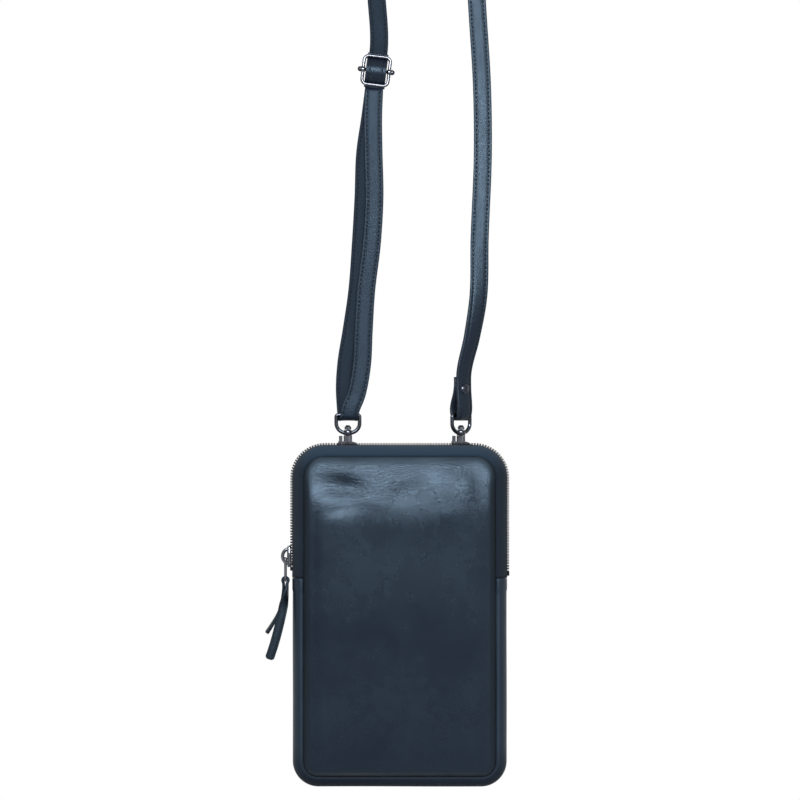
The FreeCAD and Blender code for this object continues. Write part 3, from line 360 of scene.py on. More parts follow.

# seam_shaded: painted shade darkens these leathers towards the panel seams
LEATHER = leather("pouch_leather", (0.0025, 0.0040, 0.0078), (0.0036, 0.0054, 0.0100), 0.32, 0.18,
                  seam_shaded=True)
FRONT_LEATHER = leather("front_leather", (0.0020, 0.0032, 0.0064), (0.0029, 0.0044, 0.0083), 0.26, 0.24,
                        creased=(138, 158), seam_shaded=True)
# The gusset is darker towards its bottom: painted shade, not a different finish
GUSSET_LEATHER = leather("gusset_leather", (0.0046, 0.0074, 0.0120), (0.0066, 0.0100, 0.0155), 0.42, 0.2,
                         shade_below=(2, 26))
STRAP_LEATHER = leather("strap_leather", *STRAP_DYE, 0.37, 0.3)
LOOP_LEATHER = leather("loop_leather", *STRAP_DYE, 0.44, 0.2, creased=ALL_OVER, specular=0.19)
PULL_LEATHER = leather("pull_leather", (0.0022, 0.0034, 0.0052), (0.0032, 0.0048, 0.0072), 0.42, 0.3,
                       specular=0.17)
FLESH = leather("strap_flesh", (0.0040, 0.0062, 0.0105), (0.0064, 0.0094, 0.0150), 0.62, 0.5, specular=0.13)
# The tape is painted lighter along its top, as light from above
TAPE = woven("zip_tape", (0.0022, 0.0052, 0.0095), (0.0052, 0.0105, 0.0170), 30.0, painted_light_above=(172, 184))
CORD = woven("zip_cord", (0.002, 0.003, 0.005), (0.005, 0.007, 0.011), 40.0)
LINING = woven("lining_cloth", (0.006, 0.007, 0.010), (0.016, 0.018, 0.023), 22.0)
TEETH = moulded("zip_teeth", (0.001, 0.0015, 0.003), (0.003, 0.004, 0.007), 0.5)
NICKEL = metal("polished_nickel", (0.075, 0.078, 0.088), (0.10, 0.104, 0.116), 0.12, 0.02)
ZIP_METAL = metal("zip_metal", (0.07, 0.075, 0.088), (0.14, 0.147, 0.165), 0.12, 0.08)
GUNMETAL = metal("dark_gunmetal", (0.026, 0.030, 0.038), (0.058, 0.063, 0.076), 0.14, 0.15)
THREAD = thread("strap_thread", (0.0014, 0.0022, 0.0042), (0.0045, 0.0062, 0.0105))


# Mesh tools


def add_object(name, data):
    made = bpy.data.objects.new(name, data)
    bpy.context.scene.collection.objects.link(made)
    return made


def add_piece(name, points, faces, material, body=None, uv=None, smooth=True):
    """A mesh from millimetre points, riding on a CAD body."""
    mesh = bpy.data.meshes.new(name)
    mesh.from_pydata([at(point) for point in points], [], faces)
    mesh.polygons.foreach_set("use_smooth", [smooth] * len(mesh.polygons))
    if uv is not None:
        layer = mesh.uv_layers.new(name="strip")
        for loop in mesh.loops:
            layer.data[loop.index].uv = uv[loop.vertex_index]
    mesh.materials.append(material)
    mesh.update()
    made = add_object(name, mesh)
    if body:
        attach(made, body)
    return made


def tube_faces(stations, around, closed=False):
    """Faces of a section carried along stations, joined end to end or capped."""
    faces = []
    for row in range(stations if closed else stations - 1):
        here = row * around
        there = (row + 1) % stations * around
        for spot in range(around):
            following = (spot + 1) % around
            faces.append((here + spot, here + following, there + following, there + spot))
    if not closed:
        faces.append(tuple(reversed(range(around))))
        faces.append(tuple((stations - 1) * around + spot for spot in range(around)))
    return faces


def moved_faces(faces, first):
    return [tuple(first + corner for corner in face) for face in faces]


def grid_faces(rows, columns, first=0, flip=False):
    faces = []
    for row in range(rows - 1):
        for column in range(columns - 1):
            corner = first + row * columns + column
            quad = (corner, corner + 1, corner + columns + 1, corner + columns)
            faces.append(tuple(reversed(quad)) if flip else quad)
    return faces


def ring(around):
    """Directions spaced evenly round a circle, as (cosine, sine)."""
    return arc((0, 0), (1, 1), np.arange(around) * 2 * math.pi / around)


def arc(centre, radii, turns):
    """Pairs of places on an ellipse at the given turns."""
    return [(centre[0] + radii[0] * math.cos(turn), centre[1] + radii[1] * math.sin(turn)) for turn in turns]


def unit(vectors):
    return vectors / np.linalg.norm(vectors, axis=-1, keepdims=True)


def travelled(line):
    """Distance along a line to each of its points."""
    return np.concatenate(([0], np.cumsum(np.linalg.norm(np.diff(line, axis=0), axis=1))))


def paint_strip(piece, material, around, chosen):
    """Give a swept piece a second material on the faces that start at chosen places of its section."""
    piece.data.materials.append(material)
    for face in piece.data.polygons:
        if len(face.vertices) == 4 and face.vertices[0] % around in chosen:
            face.material_index = 1


def smooth_line(points, step=LINE_STEP):
    """Points about `step` apart on a smooth curve through the given ones; extra columns ride along."""
    points = np.asarray(points, float)
    gaps = np.linalg.norm(np.diff(points[:, :3], axis=0), axis=1)
    slopes = np.gradient(points, travelled(points[:, :3]), axis=0)
    line = []
    for index, gap in enumerate(gaps):
        count = max(int(round(gap / step)), 1)
        for share in np.arange(count) / count:
            square = share * share
            cube = share ** 3
            line.append((2 * cube - 3 * square + 1) * points[index]
                        + (cube - 2 * square + share) * gap * slopes[index]
                        + (3 * square - 2 * cube) * points[index + 1]
                        + (cube - square) * gap * slopes[index + 1])
    line.append(points[-1])
    return np.array(line)


# A strap's section across and through, as shares of its width and thickness, with sewn-in edge rows
STITCH_ROW = 0.34
EDGE_SHAPE = [(-0.5, -0.2), (-0.492, -0.38), (-0.46, -0.49), (-0.385, -0.5), (-STITCH_ROW, -0.34),
              (-0.295, -0.5), (-0.14, -0.53)]
SECTION = EDGE_SHAPE + [(0.0, -0.54)] + [(-across, through) for across, through in EDGE_SHAPE[::-1]]
SECTION += [(-across, -through) for across, through in SECTION]

# A stitch: share of its length, fatness and lift at each place, with its half-sizes
STITCH_SHAPE = ((-0.5, 0.35, -0.10), (-0.3, 0.95, 0.04), (0.0, 1.0, 0.10), (0.3, 0.95, 0.04),
                (0.5, 0.35, -0.10))
STITCH_HALF_WIDTH = 0.4
STITCH_HALF_HEIGHT = 0.2
STITCH_SEAT = 0.4


def ribbon_frames(centres, across):
    """Direction along, true direction across and direction through the strap at each station."""
    along = unit(np.gradient(centres, axis=0))
    across = unit(across - along * np.sum(across * along, axis=1, keepdims=True))
    return along, across, np.cross(along, across)


def ribbon(name, centres, across, width, thickness, material, body=None, inner=None, rounded=0.0):
    """A flat leather strip along a line, across the given directions; its half `inner` shows flesh."""
    across, through = ribbon_frames(centres, across)[1:]
    travel = travelled(centres)
    points = []
    uv = []
    for station, centre in enumerate(centres):
        to_end = min(travel[station], travel[-1] - travel[station])
        narrow = 1.0
        if to_end < rounded:
            narrow -= rounded / width * (1 - math.sqrt(1 - (1 - to_end / rounded) ** 2)) * 2
        for side, deep in SECTION:
            points.append(centre + across[station] * side * width * narrow
                          + through[station] * deep * thickness)
            uv.append((side * width / STRIP_UNIT, travel[station] / STRIP_UNIT))
    made = add_piece(name, points, tube_faces(len(centres), len(SECTION)), material, body, uv)
    if inner is not None:
        half = len(SECTION) // 2
        paint_strip(made, FLESH, len(SECTION), range(inner * half, inner * half + half - 1))
    return made


def stitches(name, centres, across, width, thickness, body=None, pitch=2.3, length=1.7):
    """Sewn stitches in both edge rows, on both faces of a strip."""
    along, across, through = ribbon_frames(centres, across)
    travel = travelled(centres)
    shell = tube_faces(len(STITCH_SHAPE), STITCH_SIDES)
    points = []
    faces = []
    for start in np.arange(pitch, travel[-1] - pitch, pitch):
        middle = np.array([np.interp(start, travel, centres[:, axis]) for axis in range(3)])
        station = min(int(np.searchsorted(travel, start)), len(centres) - 1)
        for side in (-STITCH_ROW, STITCH_ROW):
            for out in (-through[station], through[station]):
                base = middle + across[station] * side * width + out * thickness * STITCH_SEAT
                faces += moved_faces(shell, len(points))
                for share, fat, lift in STITCH_SHAPE:
                    spot = base + along[station] * share * length + out * lift
                    for wide, tall in ring(STITCH_SIDES):
                        points.append(spot + across[station] * wide * STITCH_HALF_WIDTH * fat
                                      + out * tall * STITCH_HALF_HEIGHT * fat)
    return add_piece(name, points, faces, THREAD, body)


def loop_line(width, low, high, low_round, high_round, wire):
    """Closed centre line of a bent wire, as (across, height), from its outside sizes."""
    half = (width - wire) / 2
    line = []
    for x, z, bend, start in ((half, low, low_round, -90), (half, high, high_round, 0),
                              (-half, high, high_round, 90), (-half, low, low_round, 180)):
        bend -= wire / 2
        z += math.copysign(wire / 2 + bend, (low + high) / 2 - z)
        x -= math.copysign(bend, x)
        line += arc((x, z), (bend, bend), np.radians(np.linspace(start, start + 90, BEND_POINTS)))
    return line


def tube(name, line, normal, radius, material, body, closed=True):
    """Round wire along a line that lies in the plane across `normal`."""
    line = np.asarray(line, float)
    normal = np.asarray(normal, float)
    ahead = np.roll(line, -1, 0) - np.roll(line, 1, 0) if closed else np.gradient(line, axis=0)
    points = []
    for centre, out in zip(line, unit(np.cross(unit(ahead), normal))):
        points += [centre + radius * (normal * front + out * beside) for front, beside in ring(WIRE_SIDES)]
    return add_piece(name, points, tube_faces(len(line), WIRE_SIDES, closed), material, body)


def lathe(name, base, axis, profile, material, body):
    """A turned piece: (distance along the axis, radius) from end to end."""
    axis = unit(np.asarray(axis, float))
    first = unit(np.cross(axis, (0.0, 1.0, 0.0) if abs(axis[1]) < 0.9 else (1.0, 0.0, 0.0)))
    second = np.cross(axis, first)
    points = []
    for along, radius in profile:
        centre = np.asarray(base) + axis * along
        points += [centre + radius * (first * right + second * up) for right, up in ring(LATHE_SIDES)]
    return add_piece(name, points, tube_faces(len(profile), LATHE_SIDES), material, body)


# Camera, light and stage

# Lamps: name, place, target, sizes in metres, power in watts, colour
LAMPS = (
    ("key", (-60, -1190, 640), (0, 0, 165), (0.9, 0.28), 35, (0.94, 0.97, 1.0)),
    ("glint_left", (-900, -900, 760), (0, 0, 200), (0.1, 0.1), 1.2, (1.0, 1.0, 1.0)),
    ("glint_right", (820, -1000, 520), (0, 0, 200), (0.1, 0.1), 1.2, (1.0, 1.0, 1.0)),
    ("fill", (900, -1300, 300), (0, 0, 150), (0.8, 1.2), 3, (1.0, 0.99, 0.97)),
    ("back", (300, 1200, 700), (0, 0, 150), (1.2, 1.2), 12, (1.0, 1.0, 1.0)),
)


def add_light(name, place, target, size, power, colour):
    data = bpy.data.lights.new(name, "AREA")
    data.shape = "RECTANGLE"
    data.size, data.size_y = size
    data.energy = power
    data.color = colour
    lamp = add_object(name, data)
    lamp.location = at(place)
    aim = np.array(at(target)) - np.array(at(place))
    lamp.rotation_euler = Vector(aim).to_track_quat("-Z", "Y").to_euler()


def build_camera():
    camera = bpy.data.cameras.new("camera")
    camera.sensor_width = SENSOR
    camera.lens = SENSOR * CAMERA_DISTANCE / VIEW_WIDTH
    eye = add_object("camera", camera)
    eye.location = at((VIEW_CENTRE[0], -CAMERA_DISTANCE, VIEW_CENTRE[1]))
    eye.rotation_euler = (math.pi / 2, 0, 0)
    bpy.context.scene.camera = eye


def build_world():
    """Soft light from above on the object, and white where the background itself shows."""
    world = bpy.data.worlds.new("studio")
    bpy.context.scene.world = world
    world.use_nodes = True
    tree = world.node_tree
    tree.nodes.clear()
    way = node(tree, "SeparateXYZ", {0: node(tree, "TexCoord").outputs["Generated"]})
    level = spread(way.outputs["Z"], -0.6, 1.0, 0.05, 0.75)
    soft = node(tree, "Background", {"Color": (0.93, 0.96, 1.0, 1), "Strength": level})
    white = node(tree, "Background", {"Color": WHITE, "Strength": 1.0})
    seen = seen_background(tree)
    mixed = node(tree, "MixShader", {0: seen, 1: soft.outputs[0], 2: white.outputs[0]})
    out = node(tree, "OutputWorld", {"Surface": mixed.outputs[0]})
    out.is_active_output = True


def build_floor():
    """Pale floor that shows the object's shadow and fades to white away from it; it bounces a darker grey
    than it shows, as painted shade under the object.
    """
    made, tree, shader, where = new_material("pale_floor")
    pale = ramp(noise(where, 3.0), (0.3, (0.86, 0.86, 0.86)), (0.7, (0.9, 0.9, 0.9)))
    # painted shade: for bounced light the floor is a dark grey, not its pale tone, so the object's underside
    # gets less light
    bounced = node(tree, "LightPath").outputs["Is Diffuse Ray"]
    tone = mixed_colour(bounced, pale, (0.3, 0.3, 0.3, 1))
    feed(shader, {"Base Color": tone, "Roughness": 0.9})
    flat = node(tree, "VectorMath", {0: where, 1: (1, 1, 0)}, operation="MULTIPLY").outputs[0]
    away = node(tree, "VectorMath", {0: flat}, operation="LENGTH").outputs["Value"]
    fade = spread(away, 0.1, 0.31, interpolation_type="SMOOTHSTEP")
    glow = node(tree, "Emission", {"Color": WHITE, "Strength": 1.0})
    show_mix(combine("MULTIPLY", seen_background(tree), fade), shader, glow)
    corners = [(FLOOR_REACH * x, FLOOR_REACH * y, FLOOR_HEIGHT)
               for x, y in ((-1, -1), (1, -1), (1, 1), (-1, 1))]
    add_piece("floor", corners, [(0, 1, 2, 3)], made, smooth=False)


def build_stage():
    bpy.context.scene.view_settings.view_transform = "Standard"
    build_camera()
    build_world()
    build_floor()
    for lamp in LAMPS:
        add_light(*lamp)


# Leather panels

PANEL_COLUMNS = 129
PANEL_ROWS = 201
LINING_COLUMNS = 41
LINING_ROWS = 81
EDGE_ROLL = 4.2
EDGE_FILL = 9.0
TOP_FALL = 2.7
SHOULDER = 30

# Soft dents and swells: place, reach along and across, turn in degrees, height
FRONT_FOLDS = [
    (-32, 164.2, 12.5, 7, -4, -2.5), (-30, 157, 13, 11, -4, -0.5), (-33, 151, 9.5, 3.6, 8, -0.3),
    (-20, 157, 14, 3.4, -12, 0.25), (4, 161.5, 9, 5.5, 18, -0.9), (-12, 170, 7, 3, -30, -0.3),
    (38, 163, 13, 11, 0, 0.7), (43, 160, 5, 14, 6, -1), (30, 150, 12, 5, 10, 0.2), (8, 143, 26, 9, 3, 0.12),
    (-8, 131, 22, 10, -10, -0.12), (16, 100, 30, 20, 0, 0.2), (-20, 60, 26, 30, 0, -0.15),
    (-46, 120, 2.5, 26, 0, -0.3), (47, 70, 2.5, 34, 0, -0.25), (4, 12, 40, 3, 1, -0.25),
]
BACK_FOLDS = [
    (20, 60, 30, 26, 12, 0.25), (-22, 110, 24, 18, -10, -0.25), (10, 140, 28, 5, 4, 0.25),
    (-30, 163, 14, 5, -8, -0.35), (34, 162, 12, 5, 8, -0.35),
]


def edge_distance(x, z):
    """How far inside the panel's rounded outline a place is."""
    corner = np.where(z > PANEL_MIDDLE, TOP_ROUND, BOTTOM_ROUND)
    out_x = np.abs(x) - (HALF_WIDTH - corner)
    out_z = np.abs(z - PANEL_MIDDLE) - ((PANEL_HIGH - PANEL_LOW) / 2 - corner)
    outside = np.hypot(np.maximum(out_x, 0), np.maximum(out_z, 0))
    return corner - outside - np.minimum(np.maximum(out_x, out_z), 0)


def crowded(count):
    """Places from -1 to 1 that lie closer together towards both ends."""
    even = np.linspace(-1, 1, count)
    return 0.55 * even + 0.45 * np.sin(even * math.pi / 2)


def panel_grid(inset, columns, rows):
    """Rows of places that fill the panel's rounded outline, closer together near its edge."""
    z = PANEL_LOW + inset + (PANEL_HIGH - PANEL_LOW - 2 * inset) * (crowded(rows) + 1) / 2
    half = np.full(rows, HALF_WIDTH - inset)
    for corner, edge in ((TOP_ROUND - inset, PANEL_HIGH - inset), (BOTTOM_ROUND - inset, PANEL_LOW + inset)):
        into = np.clip(corner - np.abs(edge - z), 0, corner)
        half -= corner - np.sqrt(corner ** 2 - into ** 2)
    return half[:, None] * crowded(columns)[None, :], np.repeat(z[:, None], columns, axis=1)


def fold_height(x, z, folds):
    height = np.zeros_like(x)
    for middle_x, middle_z, long, short, turn, amount in folds:
        cosine = math.cos(math.radians(turn))
        sine = math.sin(math.radians(turn))
        along = (x - middle_x) * cosine + (z - middle_z) * sine
        beside = (z - middle_z) * cosine - (x - middle_x) * sine
        height += amount * np.exp(-(along / long) ** 2 - (beside / short) ** 2)
    return height


def quarter_round(share):
    """Height of a quarter circle, from its foot at 0 to its top at 1."""
    return np.sqrt(np.clip(1 - (1 - np.clip(share, 0, 1)) ** 2, 0, 1))


def rolled(inside):
    """Fullness of a panel that rolls round its edge and then swells gently."""
    return 0.62 * quarter_round(inside / EDGE_ROLL) + 0.38 * (1 - np.exp(-np.maximum(inside, 0) / EDGE_FILL))


def fullness(x, z, top_reach):
    """Share of the panel's swell at each place: rolled sides, a top that falls back, soft shoulders."""
    beside = HALF_WIDTH - np.abs(x)
    below = np.clip(PANEL_HIGH - z, 0, None)
    full = rolled(beside) * rolled(z - PANEL_LOW)
    full = full * (1 - np.clip(1 - below / top_reach, 0, 1) ** TOP_FALL)
    full = full * (0.55 + 0.45 * eased(below / 7.0 + 0.25))
    shoulder = np.hypot(np.clip(SHOULDER - beside, 0, None), np.clip(SHOULDER - below, 0, None))
    return full * (1 - 0.3 * eased((shoulder - 18) / 16))


def sheet_points(x, y, z):
    return np.stack((x, y, z), axis=-1).reshape(-1, 3)


def double_faces(rows, columns, side):
    """Faces of an outer and an inner grid, each facing its own way."""
    return grid_faces(rows, columns, 0, side > 0) + grid_faces(rows, columns, rows * columns, side < 0)


def panel_skin(name, side, folds, crown, top_reach, material):
    """A soft leather face: rolled into its seam all round, gently filled, falling back towards the top, with
    painted shade along its seam.
    """
    x, z = panel_grid(0.0, PANEL_COLUMNS, PANEL_ROWS)
    deep = np.maximum(edge_distance(x, z), 0)
    full = fullness(x, z, top_reach) * quarter_round(deep / 3.2)
    filled = 1 - np.exp(-deep / 7.0)
    y = np.maximum(PANEL_SEAT + crown * full + filled * fold_height(x, z, folds), PANEL_SEAT)
    points = (sheet_points(x, side * y, z), sheet_points(x, np.full_like(x, side * PANEL_INSIDE), z))
    faces = double_faces(PANEL_ROWS, PANEL_COLUMNS, side)
    grid = np.arange(x.size).reshape(x.shape)
    rim = np.concatenate((grid[0], grid[1:, -1], grid[-1, -2::-1], grid[-2:0:-1, 0])).tolist()
    for here, following in zip(rim, rim[1:] + rim[:1]):
        quad = (here, here + x.size, following + x.size, following)
        faces.append(quad if side < 0 else tuple(reversed(quad)))
    made = add_piece(name, np.vstack(points), faces, material)
    # Painted shade for the seam groove: 1 at the panel's edge, fading to 0 by 5.5 mm inside; the inner face
    # gets 1.
    shade = np.concatenate(((1 - eased(deep / 5.5)).ravel(), np.ones(x.size)))
    made.data.attributes.new("seam", "FLOAT", "POINT").data.foreach_set("value", shade.astype(np.float32))
    return made


def lining_sheet(name, side):
    x, z = panel_grid(LINING_INSET, LINING_COLUMNS, LINING_ROWS)
    points = [sheet_points(x, np.full_like(x, side * depth), z) for depth in LINING_DEPTHS]
    uv = [(across / STRIP_UNIT, up / STRIP_UNIT) for across, up in zip(x.ravel(), z.ravel())] * 2
    return add_piece(name, np.vstack(points), double_faces(LINING_ROWS, LINING_COLUMNS, side), LINING, uv=uv)


# Gusset, zip tapes and teeth


def seam_path(upper, step=1.5):
    """Stations on the seam line with their outward directions: lower U, or upper arch, left end first."""
    corner = TOP_ROUND if upper else BOTTOM_ROUND
    turn_height = PANEL_HIGH - corner if upper else PANEL_LOW + corner
    rise = 1 if upper else -1
    flat = HALF_WIDTH - corner
    side = np.arange(ZIP_END + rise * ZIP_GAP, turn_height, rise * step)
    left = [((-HALF_WIDTH, z), (-1, 0)) for z in side]
    for turn in np.linspace(0, 1, CORNER_POINTS):
        angle = math.pi - rise * turn * math.pi / 2
        way = (math.cos(angle), math.sin(angle))
        left.append(((corner * way[0] - flat, turn_height + corner * way[1]), way))
    level = [((x, turn_height + rise * corner), (0, rise)) for x in np.arange(-flat + step, flat, step)]
    right = np.array(left[::-1]) * (-1, 1)
    stations = np.concatenate((left, level, right))
    return stations[:, 0], stations[:, 1]


def sweep_profile(name, upper, profile, material, body=None):
    """Carry a closed (out, depth) profile along the seam line; it may change with height and distance."""
    places, out = seam_path(upper)
    points = []
    uv = []
    for place, way, travel in zip(places, out, travelled(places)):
        section = profile(place[1], travel)
        for (away, depth), length in zip(section, travelled(section)):
            points.append((place[0] + way[0] * away, depth, place[1] + way[1] * away))
            uv.append((length / STRIP_UNIT, travel / STRIP_UNIT))
    return add_piece(name, points, tube_faces(len(places), len(points) // len(places)), material, body, uv)


def bulge_line(bulge, low, high, count, shrink=0.0):
    """Places on the side's round section between two depths."""
    radius = (SEAM ** 2 + bulge ** 2) / (2 * bulge)
    centre = bulge - radius
    reach = radius - shrink
    turns = np.linspace(math.asin(low / reach), math.asin(high / reach), count)
    return arc((centre, 0), (reach, reach), turns)


def tucked(away):
    """How strongly the side turns in towards the seam at a distance from it."""
    return math.exp(-(away - WALL_FOOT) / 0.75)


def gusset_profile(height, travel):
    """Section of the side wall: tucked into the seams, turned over where the zip begins."""
    lap = 0.4 * eased((height - LAP_HEIGHT) / 0.8)
    groove = 0.12 * math.exp(-((height - LAP_GROOVE) / 0.45) ** 2)
    soft = 0.12 * math.sin(travel / 17.0) * math.sin(travel / 41.0 + 1)
    swell = 1 + (lap - groove + soft) / 8.3
    outer = []
    for away, depth in bulge_line(GUSSET_BULGE, -WALL_EDGE, WALL_EDGE, 41):
        turned_in = math.copysign(1.2 * tucked(away), depth)
        outer.append((WALL_FOOT + (away - WALL_FOOT) * swell, depth * swell - turned_in))
    inner = bulge_line(GUSSET_BULGE, -6.2, 6.2, 21, 1.5)
    front = [(-1.5, -6.2), (-1.5, -6.6), (-0.2, -6.62)]
    back = [(away, -depth) for away, depth in front[::-1]]
    return front + outer + back + inner[::-1]


def tape_profile(side):
    """Section of a woven tape: a corded bead under the teeth, an edge tucked behind the panel."""
    line = bulge_line(TAPE_BULGE, 3.0, WALL_EDGE, 17)
    bead = arc((5.9, 1.55), (0.5, 0.85), np.linspace(-2.6, 1.15, BEAD_POINTS))
    tuck = [(-0.2, 6.66), (-1.5, 6.6), (-1.5, 6.2)]
    inner = bulge_line(TAPE_BULGE, 2.2, 6.6, 13, 0.8)

    def profile(height, travel):
        soft = 0.10 * math.sin(travel / 23.0)
        outer = [(away + soft * math.exp(-away), depth - 1.1 * tucked(away)) for away, depth in line]
        section = [(away, side * depth) for away, depth in bead + outer + tuck + inner[::-1]]
        return section if side < 0 else section[::-1]
    return profile


def zip_tape(name, side, body=None):
    """A woven tape whose corded edge under the teeth has its own dark finish."""
    tape = sweep_profile(name, True, tape_profile(side), TAPE, body)
    around = len(tape_profile(side)(0, 0))
    first = 0 if side < 0 else around - BEAD_POINTS
    paint_strip(tape, CORD, around, range(first, first + BEAD_POINTS - 1))
    return tape


# A tooth's outline, as (out, depth), and its shape along the zip: place and fullness
TOOTH_OUTLINE = [(TOOTH_FOOT, 2.2), (6.0, 2.55), (7.2, 2.3), (7.45, 1.5), (7.45, 0.2), (7.2, -0.45),
                 (TOOTH_FOOT, -0.45)]
TOOTH_LENGTH = ((-0.46, 0.94), (-0.38, 1.0), (0.38, 1.0), (0.46, 0.94))


def teeth_row(name, side):
    """Fine moulded teeth of one tape, clasping its corded edge and reaching between those of the other."""
    places, out = seam_path(True, 0.5)
    line = places + out * TOOTH_LINE
    travel = travelled(line)
    shell = tube_faces(len(TOOTH_LENGTH), len(TOOTH_OUTLINE))
    first = 7.0 if side < 0 else 7.0 + TOOTH_PITCH / 2
    points = []
    faces = []
    for start in np.arange(first, travel[-1] - TOOTH_PITCH / 2, TOOTH_PITCH):
        spot = min(int(np.searchsorted(travel, start)), len(line) - 1)
        way = out[spot]
        ahead = unit(line[spot] - line[spot - 1])
        seat = line[spot] + ahead * (start - travel[spot]) - way * TOOTH_LINE
        faces += moved_faces(shell, len(points))
        for slide, fat in TOOTH_LENGTH:
            for away, depth in TOOTH_OUTLINE:
                place = seat + way * (TOOTH_FOOT + (away - TOOTH_FOOT) * fat) + ahead * slide
                points.append((place[0], side * depth, place[1]))
    return add_piece(name, points, faces, TEETH, smooth=False)


# Strap lines

# Shares of the height and of the sideways bow: the long right run, the doubled strap's front and back
RIGHT_BOW = ((0.0, 0.0), (0.057, 0.39), (0.111, 0.69), (0.2, 0.8), (0.33, 1.0), (0.42, 1.0), (0.53, 0.84),
             (0.657, 0.63), (0.79, 0.4), (0.9, 0.2), (1.0, 0.0))
FRONT_BOW = ((0.045, 0.7), (0.13, 0.95), (0.24, 0.86), (0.36, 0.78), (0.52, 0.95), (0.66, 0.84), (0.8, 0.42),
             (0.91, 0.12), (1.0, 0.0))
BACK_BOW = ((0.07, -0.9), (0.14, -0.95), (0.24, -0.5), (0.36, -0.05), (0.52, -0.1), (0.66, -0.3),
            (0.8, -0.65), (0.91, -0.25), (1.0, 0.0))


def right_place(out, height):
    """A place at the right hook, this far out towards the strap's front."""
    return np.array((RIGHT_HOOK, HOOK_DEPTH, height)) + out * RIGHT_OUT


def right_strand():
    """From the tail behind the right eye, round its bar, up, over the crown and down the left run."""
    local = [(-0.35, 20.7), (-0.35, 16.0), (0.5, 11.5), (2.2, 7.0), (3.0, 3.2)]
    local += arc((0, 0), (2.5, 2.3), np.linspace(-0.2, 0.2 - math.pi, 11))
    local += [(-3.1, 3.2), (-3.0, 7.0), (-2.45, 12.0), (-LEG, 16.5)]
    line = [(*right_place(-behind, BAR_HEIGHT + up), RIGHT_TURN) for behind, up in local]
    start = right_place(LEG, RUN_START)
    end = np.array((CROWN_PLACE + CROWN_RADIUS, HOOK_DEPTH, RUN_TOP))
    for height, sway in RIGHT_BOW:
        bow = 12.0 * eased((height - 0.1) / 0.5) * (1 - eased((height - 0.6) / 0.4))
        place = start + (end - start) * height + np.array((12.0 * sway, bow, 0))
        turn = RIGHT_TURN * (1 - eased(height / 0.2)) + 90 * eased((height - 0.55) / 0.37)
        line.append((*place, float(turn)))
    half_turn = np.linspace(0, math.pi, CORNER_POINTS)[1:]
    crown = arc((CROWN_PLACE, CROWN_HEIGHT), (CROWN_RADIUS, CROWN_RADIUS), half_turn)
    line += [(x, HOOK_DEPTH, z, 90.0) for x, z in crown]
    top = np.array((CROWN_PLACE - CROWN_RADIUS, HOOK_DEPTH, RUN_TOP))
    for height in np.arange(7, -1, -1) / 8:
        place = MEET + (top - MEET) * height
        line.append((*place, float(180 - 90 * eased(height / 0.92))))
    return smooth_line(line)


def bowed_run(foot_depth, top, bow, shares):
    """One layer of the doubled strap, from the left eye up to the buckle."""
    foot = np.array((LEFT_HOOK, foot_depth, LOOP_FOOT))
    return [(*(foot + (top - foot) * height + (bow * sway, 0, 0)), height) for height, sway in shares]


def adjust_strand():
    """Down the front from the buckle, round the left eye's bar and back up behind."""
    front = bowed_run(HOOK_DEPTH - LEG, UNDER, 6.0, FRONT_BOW)
    back = bowed_run(HOOK_DEPTH + LEG, UNDER + (0, 1.9, 0), 3.0, BACK_BOW)
    fold = [(LEFT_HOOK + 0.9 * math.cos(turn), HOOK_DEPTH - LEG * math.cos(turn),
             BAR_HEIGHT - LEG * math.sin(turn), 0) for turn in np.linspace(0, math.pi, BEND_POINTS)]
    return smooth_line(front[::-1] + fold + back)


def facing(degrees):
    """Directions across a strap that turns about the upright."""
    turn = np.radians(degrees)
    return np.stack((np.cos(turn), np.sin(turn), np.zeros_like(turn)), axis=-1)


def leaning(share):
    """Directions across a strap that leans with the buckle by a share."""
    turn = TILT * share
    return np.stack((np.cos(turn), np.zeros_like(turn), -np.sin(turn)), axis=-1)


def buckle_line(local):
    """Places given as (depth, height) on the tilted buckle."""
    return np.array([BUCKLE + UP * height + (0, depth, 0) for depth, height in local])


def sewn_run(name, stitching, line, across, material, body=None, width=STRAP_WIDTH, inner=None):
    run = ribbon(name, line, across, width, STRAP_THICKNESS, material, body, inner)
    return run, stitches(stitching, line, across, STRAP_WIDTH, STRAP_THICKNESS, body)


